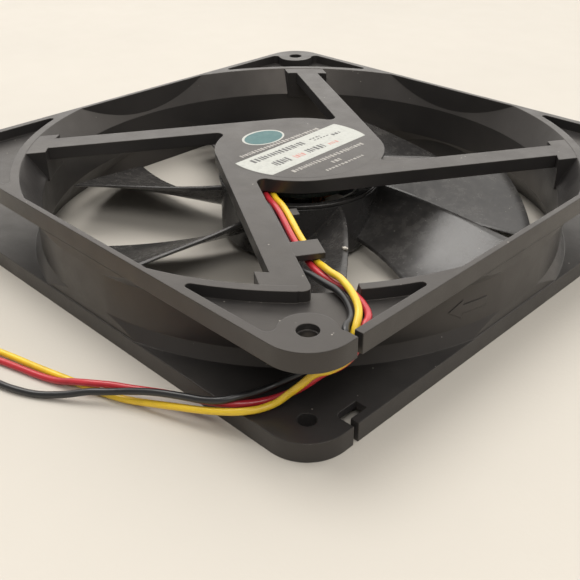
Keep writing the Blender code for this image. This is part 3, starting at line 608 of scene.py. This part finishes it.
def turned(profile, segments=ROUND):
    """The closed outline of (radius, z) points turned about Z. Points on the axis become one vertex."""
    shape = bmesh.new()
    rings = []
    for radius, z in profile:
        if radius == 0:
            rings.append([shape.verts.new(mm(0, 0, z))] * segments)
            continue
        ring = []
        for step in range(segments):
            turn = 2 * math.pi * step / segments
            ring.append(shape.verts.new(mm(radius * math.cos(turn), radius * math.sin(turn), z)))
        rings.append(ring)
    for near, far in zip(rings, rings[1:] + rings[:1]):
        if near[0] is near[1] and far[0] is far[1]:
            continue
        for step in range(segments):
            after = (step + 1) % segments
            corners = [near[step], near[after], far[after], far[step]]
            shape.faces.new(list(dict.fromkeys(corners)))
    return solid(shape, "turned")


def prism(outline, low, high):
    """The closed outline of (x, y) points, from z = low to z = high."""
    shape = bmesh.new()
    floor = [shape.verts.new(mm(x, y, low)) for x, y in outline]
    roof = [shape.verts.new(mm(x, y, high)) for x, y in outline]
    shape.faces.new(reversed(floor))
    shape.faces.new(roof)
    count = len(outline)
    for step in range(count):
        after = (step + 1) % count
        shape.faces.new([floor[step], floor[after], roof[after], roof[step]])
    return solid(shape, "prism")


def box(low, high):
    corners = [(low[0], low[1]), (high[0], low[1]), (high[0], high[1]), (low[0], high[1])]
    return prism(corners, low[2], high[2])


def arc(centre, radius, start_deg, end_deg, steps):
    points = []
    for step in range(steps + 1):
        turn = math.radians(start_deg + (end_deg - start_deg) * step / steps)
        points.append((centre[0] + radius * math.cos(turn), centre[1] + radius * math.sin(turn)))
    return points


def rod(radius, low, high, segments=SMALL_ROUND):
    steps = segments - 1
    return prism(arc((0, 0), radius, 0, 360 * steps / segments, steps), low, high)


def turn_outline(outline, degrees):
    turn = math.radians(degrees)
    cos, sin = math.cos(turn), math.sin(turn)
    return [(x * cos - y * sin, x * sin + y * cos) for x, y in outline]


def rounded_square(half, radius=INNER_CORNER_R):
    corner = arc((half - radius, half - radius), radius, 0, 90, CORNER_STEPS)
    return [point for quarter in range(4) for point in turn_outline(corner, 90 * quarter)]


def ellipse(centre, half):
    turns = [2 * math.pi * step / OVAL_STEPS for step in range(OVAL_STEPS)]
    return [(centre[0] + half[0] * math.cos(turn), centre[1] + half[1] * math.sin(turn)) for turn in turns]


def combine(body, tool, operation):
    """Joins the tool to the body, or cuts or crops the body with it, and removes the tool."""
    helper = add("helper", tool)
    modifier = body.modifiers.new("combine", "BOOLEAN")
    modifier.operation = operation
    modifier.object = helper
    graph = bpy.context.evaluated_depsgraph_get()
    mesh = bpy.data.meshes.new_from_object(body.evaluated_get(graph))
    body.modifiers.clear()
    body.data = mesh
    bpy.data.objects.remove(helper)


def combined(base, tool, operation):
    body = add("helper_body", base)
    combine(body, tool, operation)
    mesh = body.data
    bpy.data.objects.remove(body)
    return mesh


def weld(body):
    """Merges the points that the cuts left nearly on each other, and drops the faces without area."""
    shape = bmesh.new()
    shape.from_mesh(body.data)
    bmesh.ops.remove_doubles(shape, verts=shape.verts, dist=mm(WELD))
    bmesh.ops.dissolve_degenerate(shape, edges=shape.edges, dist=mm(WELD))
    loose = [edge for edge in shape.edges if not edge.link_faces]
    bmesh.ops.delete(shape, geom=loose, context="EDGES")
    shape.to_mesh(body.data)
    shape.free()


def shade(body, sharp_deg=SHARP_DEG):
    body.data.shade_smooth()
    body.data.set_sharp_from_angle(angle=math.radians(sharp_deg))


def dress(made, finish, body, replaced=None):
    """Gives a shown piece its finish and its body, and hides the CAD node that it stands for, if any."""
    made.data.materials.clear()
    made.data.materials.append(finish)
    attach(made, body)
    if replaced:
        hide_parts(replaced)


def piece(name, mesh, finish, body, replaced=None):
    dress(add(name, mesh), finish, body, replaced)


# The frame.


def pocket_outline():
    """The recess in a corner of a flange, between the duct's rim, the lip and the screw boss, at +X +Y."""
    tip_y = LIP_INNER - TIP_R
    tip_x = math.sqrt((RIM_R + TIP_R) ** 2 - tip_y**2)
    tip_deg = math.degrees(math.atan2(tip_y, tip_x))
    fillet_y = LIP_INNER - BOSS_FILLET
    drop = fillet_y - SCREW_AT
    fillet_x = SCREW_AT - math.sqrt((BOSS_R + BOSS_FILLET) ** 2 - drop**2)
    boss_deg = math.degrees(math.atan2(drop, fillet_x - SCREW_AT))
    outline = arc((0, 0), RIM_R, 90 - tip_deg, tip_deg, RIM_STEPS)
    outline += arc((tip_x, tip_y), TIP_R, tip_deg + 180, 90, SHORT_ARC)[1:]
    outline += arc((fillet_x, fillet_y), BOSS_FILLET, 90, boss_deg - 180, ARC)
    outline += arc((SCREW_AT, SCREW_AT), BOSS_R, boss_deg, 450 - boss_deg, FULL_ARC)[1:-1]
    outline += arc((fillet_y, fillet_x), BOSS_FILLET, 270 - boss_deg, 0, ARC)
    outline += arc((tip_y, tip_x), TIP_R, 0, -90 - tip_deg, SHORT_ARC)[:-1]
    return outline


def strut_outline(notched):
    """One strut along +X, tangent to the motor base, and a foot that widens where it meets the rim.

    The strut beside the notch for the wires has no foot on that side and ends in a rounded corner.
    """
    inner, outer = -STRUT_OFFSET[0], -STRUT_OFFSET[1]
    end = FOOT_END_R

    def at(radius, y):
        return (math.sqrt(radius**2 - y**2), y)

    outline = [(0.0, outer), at(FOOT_R, outer), at(FOOT_R, outer - FOOT_W), at(end, outer - FOOT_W)]
    if notched:
        outline += [at(end + out, inner + over) for out, over in NOTCHED_END]
    else:
        outline += [at(end, inner + FOOT_W), at(FOOT_R, inner + FOOT_W), at(FOOT_R, inner)]
    fillet_y = inner + STRUT_FILLET
    fillet_x, _ = at(BASE_R + STRUT_FILLET, fillet_y)
    toward = math.degrees(math.atan2(-fillet_y, -fillet_x)) - 360
    outline += arc((fillet_x, fillet_y), STRUT_FILLET, -90, toward, ARC)
    outline.append((0.0, fillet_y))
    return outline


def foot_outline(notched, back_r, inset):
    """A block under a foot, which fills the flare from behind the foot's face to a radius in the wall."""
    near_y = STRUT_OFFSET[1] + FOOT_W - FOOT_INSET
    far_y = STRUT_OFFSET[0] + FOOT_INSET - (0.0 if notched else FOOT_W)
    face = [math.degrees(math.asin(y / FOOT_R)) for y in (near_y, far_y)]
    back = [math.degrees(math.asin(y / back_r)) for y in (far_y, near_y)]
    outline = arc((0, 0), FOOT_R + inset, -face[0], -face[1], SHORT_ARC)
    return outline + arc((0, 0), back_r, -back[0], -back[1], SHORT_ARC)


def on_strut(low, high):
    """A rectangle's outline on the notched strut, from its corners' distances along and across the strut."""
    corners = [(low[0], -low[1]), (high[0], -low[1]), (high[0], -high[1]), (low[0], -high[1])]
    return turn_outline(corners, STRUT_DEG)


def hollow_duct(body):
    """Cuts the bore with its flared mouths, and the channel round the duct between the flanges."""
    half = SIDE / 2
    slope = (BORE_MOUTH_R - BORE_R) / FLARE_H
    mouth = BORE_MOUTH_R + slope
    bore = [(0, -PAST), (mouth, -PAST), (BORE_R, FLARE_H), (BORE_R, HEIGHT - FLARE_H)]
    bore += [(mouth, HEIGHT + PAST), (0, HEIGHT + PAST)]
    sides = prism(rounded_square(BORE_LIP), -2 * PAST, HEIGHT + 2 * PAST)
    combine(body, combined(turned(bore), sides, "INTERSECT"), "DIFFERENCE")
    wall_r = BORE_R + DUCT_WALL
    end_z = FLANGE_T - PAST
    end_r = wall_r + slope * (FLARE_H - end_z)
    duct = [(0, end_z), (end_r, end_z), (wall_r, FLARE_H), (wall_r, HEIGHT - FLARE_H)]
    duct += [(end_r, HEIGHT - end_z), (0, HEIGHT - end_z)]
    duct = combined(turned(duct), prism(rounded_square(half - DUCT_STEP), 0, HEIGHT), "INTERSECT")
    reach = half + 9 * PAST
    channel = box((-reach, -reach, FLANGE_T), (reach, reach, HEIGHT - FLANGE_T))
    combine(body, combined(channel, duct, "DIFFERENCE"), "DIFFERENCE")
    top = HEIGHT - FLANGE_T
    within = prism(rounded_square(half - SEAM_DEEP), top - PAST, top + PAST)
    seam = combined(prism(rounded_square(half + PAST), top - SEAM_W, top + SEAM_OVER), within, "DIFFERENCE")
    combine(body, seam, "DIFFERENCE")


def cut_flanges(body):
    """Recesses, notch, screw holes and the slots for the wires."""
    low = HEIGHT - FLANGE_T + PLATE_T
    for quarter in range(4):
        outline = turn_outline(pocket_outline(), 90 * quarter)
        combine(body, prism(outline, low, HEIGHT + PAST), "DIFFERENCE")
        combine(body, prism(outline, -PAST, FLANGE_T - PLATE_T), "DIFFERENCE")
    start, end = NOTCH_DEG
    notch = arc((0, 0), RIM_R + PAST, start, end, ARC) + arc((0, 0), BORE_R, end, start, ARC)
    combine(body, prism(notch, low, HEIGHT + PAST), "DIFFERENCE")
    mouth_z = HEIGHT - SCREW_MOUTH_H
    end_z = HEIGHT + PAST
    hole = [(0, -PAST), (SCREW_MOUTH_R, -PAST), (SCREW_MOUTH_R, SCREW_MOUTH_H), (SCREW_R, SCREW_MOUTH_H)]
    hole += [(SCREW_R, mouth_z), (SCREW_MOUTH_R, mouth_z), (SCREW_MOUTH_R, end_z), (0, end_z)]
    for x in (-SCREW_AT, SCREW_AT):
        for y in (-SCREW_AT, SCREW_AT):
            cutter = turned(hole, SMALL_ROUND)
            cutter.transform(Matrix.Translation(mm(x, y, 0)))
            combine(body, cutter, "DIFFERENCE")
    left, right, near, far = SLOT
    middle = (left + right) / 2
    radius = (right - left) / 2
    hole = arc((middle, near + radius), radius, 180, 360, LONG_ARC) + [(right, far), (left, far)]
    side = SIDE / 2 + PAST
    slit = [(middle, SLIT[0]), (side, SLIT[0]), (side, SLIT[1]), (middle, SLIT[1])]
    for ends in ((-PAST, FLANGE_T + PAST), (HEIGHT - FLANGE_T - PAST, HEIGHT + PAST)):
        for outline in (hole, slit):
            combine(body, prism(outline, *ends), "DIFFERENCE")


def add_struts(body):
    """The motor base on its struts, the socket of the bearing tube, and the two guides for the wires."""
    for quarter in range(4):
        turn_deg = STRUT_DEG + 90 * quarter
        for number, (back_r, low, high) in enumerate(FOOT_BLOCKS, 1):
            outline = turn_outline(foot_outline(quarter == 0, back_r, FOOT_INSET * number), turn_deg)
            combine(body, prism(outline, low, high), "UNION")
        combine(body, prism(turn_outline(strut_outline(quarter == 0), turn_deg), *STRUT_Z), "UNION")
    combine(body, rod(BASE_R, BASE_LOW, STRUT_Z[1] - BASE_DROP, ROUND), "UNION")
    combine(body, prism(turn_outline(GUSSET, STRUT_DEG + 90), *GUSSET_Z), "UNION")
    inner_r, outer_r, low = SOCKET
    combine(body, rod(outer_r, low, BASE_LOW + PAST), "UNION")
    combine(body, rod(inner_r, low - PAST, SOCKET_ROOF), "DIFFERENCE")
    near, far, reach = TAB
    inner = STRUT_OFFSET[0] + PAST
    tab = on_strut((near, inner), (far, reach))
    combine(body, prism(tab, STRUT_Z[1] - TAB_T, STRUT_Z[1] - TAB_DROP), "UNION")
    near, far, reach = LEDGE
    combine(body, prism(on_strut((near, inner + PAST), (far, reach)), *LEDGE_Z), "UNION")
    link = on_strut((near + LINK_INSET, inner + LINK_HALF), (far - LINK_INSET, inner - LINK_HALF))
    combine(body, prism(link, LEDGE_Z[0] + LINK_INSET, STRUT_Z[0] + PAST), "UNION")


def build_arrow(finish):
    """A low raised arrow on the duct's wall, which shows the way that the air goes round."""
    tip_deg, middle_z = ARROW
    head, length = ARROW_LENGTH
    tip_half, head_half, shaft_half = ARROW_HALF
    head_steps, shaft_steps = ARROW_STEPS
    wall_r = BORE_R + DUCT_WALL
    inner_r, outer_r = (wall_r + rise for rise in ARROW_RISE)
    stations = [(head * k / head_steps, head_half * k / head_steps + tip_half) for k in range(head_steps + 1)]
    start = head + tip_half
    stations += [(start + (length - head) * k / shaft_steps, shaft_half) for k in range(shaft_steps + 1)]
    shape = bmesh.new()
    rows = []
    for along, half in stations:
        turn = math.radians(tip_deg) + along / wall_r
        corners = ((inner_r, -half), (outer_r, -half), (outer_r, half), (inner_r, half))
        cos, sin = math.cos(turn), math.sin(turn)
        rows.append([shape.verts.new(mm(r * cos, r * sin, middle_z + z)) for r, z in corners])
    for near, far in zip(rows, rows[1:]):
        for side in range(4):
            after = (side + 1) % 4
            shape.faces.new([near[side], near[after], far[after], far[side]])
    shape.faces.new(rows[0])
    shape.faces.new(rows[-1])
    piece("arrow_mark", solid(shape, "arrow_mark"), finish, HOUSING)


def build_frame(finish):
    body = add("frame_moulding", prism(rounded_square(SIDE / 2, CORNER_R), 0, HEIGHT))
    hollow_duct(body)
    cut_flanges(body)
    add_struts(body)
    weld(body)
    shade(body)
    dress(body, finish, HOUSING, "frame")


# The impeller.


def blade_point(radius, across):
    """A point of the middle surface of a blade: 0 across is its lower, leading edge and 1 its upper one."""
    out = (radius - HUB_R) / BLADE_SPAN
    powers = (1.0, out, out**2)
    upper_deg, lower_deg, upper_z, lower_z = (
        sum(factor * power for factor, power in zip(edge, powers))
        for edge in (UPPER_EDGE_DEG, LOWER_EDGE_DEG, UPPER_EDGE_Z, LOWER_EDGE_Z)
    )
    turn = math.radians(BLADE_DEG + lower_deg + (upper_deg - lower_deg) * across)
    z = lower_z + (upper_z - lower_z) * across**BLADE_CURVE
    return mm(radius * math.cos(turn), radius * math.sin(turn), z)


def blade_frame(radius, across):
    """The middle point of a blade and its normal there."""
    middle = blade_point(radius, across)
    step = 0.01
    along = blade_point(radius + 1, across) - middle
    over = blade_point(radius, across + step) - blade_point(radius, max(across - step, 0.0))
    return middle, along.cross(over).normalized()


def blade(number):
    """One blade with rounded edges, its root inside the hub's wall."""
    spans, chords = BLADE_STEPS
    shape = bmesh.new()
    skins = ([], [])
    for span in range(spans + 1):
        radius = BLADE_ROOT_R + (BLADE_TIP_R - BLADE_ROOT_R) * span / spans
        thick = BLADE_T[0] + (BLADE_T[1] - BLADE_T[0]) * span / spans
        rows = ([], [])
        for chord in range(chords + 1):
            crowded = 0.5 - 0.5 * math.cos(math.pi * chord / chords)
            across = BLADE_CROWD * crowded + (1 - BLADE_CROWD) * chord / chords
            middle, normal = blade_frame(radius, across)
            edge = min(across, 1 - across) * BLADE_EDGE
            full = math.sqrt(1 - (1 - min(edge, 1.0)) ** 2) * (1 - BLADE_EDGE_THIN) + BLADE_EDGE_THIN
            if span == spans:
                full *= BLADE_TIP_THIN
            for side, row in zip((0.5, -0.5), rows):
                row.append(shape.verts.new(middle + normal * mm(thick * full) * side))
        for skin, row in zip(skins, rows):
            skin.append(row)
    for skin in skins:
        for near, far in zip(skin, skin[1:]):
            for corners in zip(near, near[1:], far[1:], far):
                shape.faces.new(corners)
    upper, lower = skins
    for near, far in zip(range(spans), range(1, spans + 1)):
        for edge in (0, -1):
            shape.faces.new([upper[near][edge], upper[far][edge], lower[far][edge], lower[near][edge]])
    for row in (0, -1):
        for chord in range(chords):
            after = chord + 1
            shape.faces.new([upper[row][chord], upper[row][after], lower[row][after], lower[row][chord]])
    mesh = solid(shape, "blade", BLADE_SHARP_DEG)
    mesh.transform(Matrix.Rotation(2 * math.pi * number / BLADES, 4, "Z"))
    return mesh


def build_impeller(finish):
    low, high = HUB_Z
    boss_in, boss_out, boss_top = HUB_BOSS
    hub = [(0, low)] + arc((HUB_R - HUB_EDGE, low + HUB_EDGE), HUB_EDGE, -90, 0, ARC)
    groove_r = HUB_R - HUB_GROOVE
    hub += [(r, high - down) for r, down in zip((HUB_R, groove_r, groove_r, HUB_RIM_R), HUB_GROOVE_DOWN)]
    hub += [(HUB_RIM_R, high - HUB_RIM_EDGE), (HUB_RIM_R - HUB_RIM_EDGE, high)]
    hub += [(HUB_INNER_R, high), (HUB_INNER_R, HUB_FACE_Z)]
    hub += [(boss_out, HUB_FACE_Z), (boss_out, boss_top), (boss_in, boss_top), (boss_in, HUB_FACE_Z)]
    hub.append((0, HUB_FACE_Z))
    body = add("impeller_moulding", turned(hub, HUB_SIDES))
    for number in range(BLADES):
        combine(body, blade(number), "UNION")
    shade(body, IMPELLER_SHARP_DEG)
    dress(body, finish, ROTOR, "impeller")


def build_fleck(finish):
    """A ragged crumb of dry glue on the thin edge of a blade."""
    shape = bmesh.new()
    bmesh.ops.create_icosphere(shape, subdivisions=3, radius=1.0)
    rng = random.Random(5)
    for vert in shape.verts:
        wobble = 1 + FLECK_WAVE * math.sin(5 * vert.co.x + 2) * math.sin(6 * vert.co.y)
        wobble += rng.uniform(-FLECK_ROUGH, FLECK_ROUGH)
        vert.co = mm(*(a * b * wobble for a, b in zip(vert.co, FLECK_SIZE))) + mm(*FLECK_AT)
    mesh = solid(shape, "glue_fleck", FLECK_SHARP_DEG)
    piece("glue_fleck", mesh, finish, ROTOR)


# The label.


def band_outline():
    """The pale band, whose two ends follow the film's edge."""
    xs = [BAND_HALF - 2 * BAND_HALF * step / BAND_STEPS for step in range(BAND_STEPS + 1)]
    ends = [(x, math.sqrt(BAND_R**2 - (x + BAND_X) ** 2)) for x in xs]
    outline = ends + [(x, -y) for x, y in reversed(ends)]
    return [(x + BAND_X, y) for x, y in turn_outline(outline, BAND_DEG)]


def build_bars(finishes):
    """Rows of plain bars that spell nothing."""
    rng = random.Random(7)
    for number, (x, start, end, tall, ink) in enumerate(LABEL_ROWS, 1):
        shape = bmesh.new()
        y = start
        while y < end:
            wide = rng.uniform(*BAR_ROOM)
            middle = y + wide / 2
            bar_tall = tall * rng.choice(BAR_HEIGHTS)
            for vert in bmesh.ops.create_cube(shape, size=1.0)["verts"]:
                vert.co = mm(
                    x + vert.co.x * bar_tall,
                    middle + vert.co.y * wide * BAR_INKED,
                    LABEL_Z + INK_T + vert.co.z * INK_T,
                )
            y += wide + rng.uniform(*BAR_GAP)
        name = f"label_bars_{number}"
        piece(name, solid(shape, name), finishes[ink], HOUSING)


def build_label(finishes):
    """A dark film with a pale band, a small oval and rows of bars."""
    dust_film_and_sheen = rod(LABEL_R, LABEL_Z - FILM_T, LABEL_Z, ROUND)
    piece("label_film", dust_film_and_sheen, finishes["dust_film_and_sheen"], HOUSING, "label")
    low, high = LABEL_Z - INK_SUNK, LABEL_Z + INK_T
    for name, outline, top, ink in (
        ("label_band", band_outline(), high, "white"),
        ("label_oval", ellipse(*OVAL), high, "white"),
        ("label_oval_fill", ellipse(*OVAL_FILL), high + FILL_OVER, "teal"),
    ):
        piece(name, prism(outline, low, top), finishes[ink], HOUSING)
    build_bars(finishes)


# The lead.


def smooth_route(points, step):
    """Points a step apart on a Catmull-Rom curve through the route's points."""
    points = [mm(*point) for point in points]
    ends = [points[0] * 2 - points[1]] + points + [points[-1] * 2 - points[-2]]
    fine = []
    for before, start, end, after in zip(ends, ends[1:], ends[2:], ends[3:]):
        for part in range(ROUTE_STEPS):
            t = part / ROUTE_STEPS
            point = 2 * start + (end - before) * t + (2 * before - 5 * start + 4 * end - after) * t**2
            fine.append((point + (3 * start - before - 3 * end + after) * t**3) / 2)
    fine.append(points[-1])
    length = sum((b - a).length for a, b in zip(fine, fine[1:]))
    count = max(2, round(length / mm(step)))
    even = [fine[0]]
    done = 0.0
    for a, b in zip(fine, fine[1:]):
        part = (b - a).length
        while part > 0 and len(even) < count and done + part >= length * len(even) / count:
            even.append(a.lerp(b, (length * len(even) / count - done) / part))
        done += part
    return even + [fine[-1]]


def coil_points(radius):
    """The turns of one wire in the coil. They start and end at the coil's +Y side, running towards -X."""
    points = []
    steps = COIL_STEPS * COIL_TURNS
    for step in range(steps + 1):
        turn = math.radians(90) + 2 * math.pi * COIL_TURNS * step / steps
        x = COIL_AT[0] + radius * math.cos(turn)
        y = COIL_AT[1] + radius * math.sin(turn)
        points.append((x, y, COIL_LOW + COIL_PITCH * COIL_TURNS * step / steps))
    return points


def build_wire(colour, finish):
    route = LEAD_ROUTES[colour] + coil_points(COIL_RADII[colour]) + TAIL_ROUTES[colour]
    points = smooth_route(route, WIRE_STEP)
    curve = bpy.data.curves.new(f"wire_{colour}", "CURVE")
    curve.dimensions = "3D"
    curve.bevel_depth = mm(WIRE_D) / 2
    curve.bevel_resolution = WIRE_BEVEL_STEPS
    curve.use_fill_caps = True
    line = curve.splines.new("POLY")
    line.points.add(len(points) - 1)
    for point, at in zip(line.points, points):
        point.co = (*at, 1.0)
    curve.materials.append(finish)
    made = add(f"wire_{colour}", curve)
    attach(made, HOUSING)
    replaced = [f"lead_{colour}", f"tail_{colour}"] + (["lead_coil"] if colour == "yellow" else [])
    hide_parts(*replaced)


# The table, the lights and the scene.


def build_floor(finish):
    shape = bmesh.new()
    bmesh.ops.create_grid(shape, x_segments=1, y_segments=1, size=TABLE_HALF)
    mesh = bpy.data.meshes.new("table")
    shape.to_mesh(mesh)
    shape.free()
    mesh.materials.append(finish)
    floor = add("table", mesh)
    floor.location.z = -mm(TABLE_DROP)


def area_light(name, place, size, power, colour):
    data = bpy.data.lights.new(name, "AREA")
    data.shape = "DISK"
    data.size = size
    data.energy = power
    data.color = colour
    light = add(name, data)
    light.location = place
    light.rotation_euler = Vector(place).to_track_quat("Z", "Y").to_euler()


def build_lights():
    """A bright room: even light from all round, and a brighter wall behind the fan."""
    world = bpy.data.worlds.new("studio")
    world.use_nodes = True
    nodes = world.node_tree.nodes
    links = world.node_tree.links
    background = nodes["Background"]
    background.inputs["Color"].default_value = (*ROOM_COLOUR, 1.0)
    toward = nodes.new("ShaderNodeVectorMath")
    toward.operation = "DOT_PRODUCT"
    toward.inputs[1].default_value = Vector(WALL_TOWARD).normalized()
    links.new(nodes.new("ShaderNodeTexCoord").outputs["Generated"], toward.inputs[0])
    lobe = nodes.new("ShaderNodeMapRange")
    lobe.interpolation_type = "SMOOTHSTEP"
    for name, number in zip(RANGE_SOCKETS, (*WALL_COS, ROOM_LEVEL, WALL_LEVEL)):
        lobe.inputs[name].default_value = number
    links.new(toward.outputs["Value"], lobe.inputs["Value"])
    links.new(lobe.outputs["Result"], background.inputs["Strength"])
    bpy.context.scene.world = world
    for light in LIGHTS:
        area_light(*light)


def build_finishes():
    return {
        "frame": frame_plastic("satin_black_plastic", 0.00035),
        "dust_film_and_sheen": frame_plastic("satin_black_film", 0.0),
        "blade": blade_plastic(),
        "white": printed("white_ink", (0.50, 0.51, 0.475), (0.40, 0.41, 0.38)),
        "pale": printed("pale_ink", (0.42, 0.40, 0.37), (0.20, 0.19, 0.18)),
        "teal": printed("teal_ink", (0.04, 0.125, 0.13), (0.06, 0.16, 0.16)),
        "ink": printed("dark_ink", (0.05, 0.05, 0.05), (0.16, 0.16, 0.16)),
        "red": printed("faded_red_ink", (0.50, 0.20, 0.17), (0.58, 0.38, 0.34)),
        "yellow": insulation("yellow_insulation", (0.78, 0.50, 0.02), (0.86, 0.60, 0.03)),
        "red_wire": insulation("red_insulation", (0.46, 0.018, 0.028), (0.56, 0.03, 0.045)),
        "black": insulation("black_insulation", (0.008, 0.008, 0.009), (0.014, 0.014, 0.015)),
        "steel": metal("bare_steel", (0.38, 0.38, 0.39), (0.55, 0.55, 0.55), (0.28, 0.45), (1, 1, 0.2)),
        "magnet": moulded("ferrite", (0.035, 0.033, 0.031), (0.07, 0.066, 0.062), (0.5, 0.7), 700),
        "brass": metal("turned_brass", (0.60, 0.42, 0.17), (0.80, 0.60, 0.28), (0.22, 0.35), (0.2, 0.2, 1)),
        "bronze": metal("sintered_bronze", (0.38, 0.24, 0.12), (0.56, 0.37, 0.20), (0.4, 0.6)),
        "copper": copper_winding(),
        "tin": metal("tin_plate", (0.58, 0.58, 0.57), (0.75, 0.75, 0.73), (0.22, 0.36)),
        "nylon": moulded("natural_nylon", (0.66, 0.63, 0.56), (0.78, 0.75, 0.69), (0.38, 0.5)),
        "board": board_mask(),
        "fleck": moulded("dry_glue", (0.42, 0.39, 0.34), (0.62, 0.58, 0.52), (0.5, 0.7), 2500),
        "chip": moulded("moulded_epoxy", (0.015, 0.015, 0.016), (0.028, 0.028, 0.029), (0.45, 0.6), 900),
        "tie": moulded("tie_nylon", (0.014, 0.014, 0.014), (0.024, 0.024, 0.024), (0.35, 0.5), 500),
        "plug": moulded("plug_nylon", (0.014, 0.014, 0.014), (0.026, 0.026, 0.025), (0.32, 0.46), 400),
        "table": table_top(),
    }


def dress_cad(frame, finishes):
    for finish, names in CAD_FINISHES.items():
        for name in names:
            mesh = frame["nodes"][name].data
            mesh.materials.clear()
            mesh.materials.append(finishes[finish])


def main():
    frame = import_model()
    build_camera()
    finishes = build_finishes()
    for colour in COLOURS:
        build_wire(colour, finishes["red_wire" if colour == "red" else colour])
    build_lights()
    build_floor(finishes["table"])
    build_frame(finishes["frame"])
    build_impeller(finishes["blade"])
    build_fleck(finishes["fleck"])
    build_arrow(finishes["frame"])
    build_label(finishes)
    dress_cad(frame, finishes)
    bpy.context.scene.view_settings.view_transform = "Standard"


main()
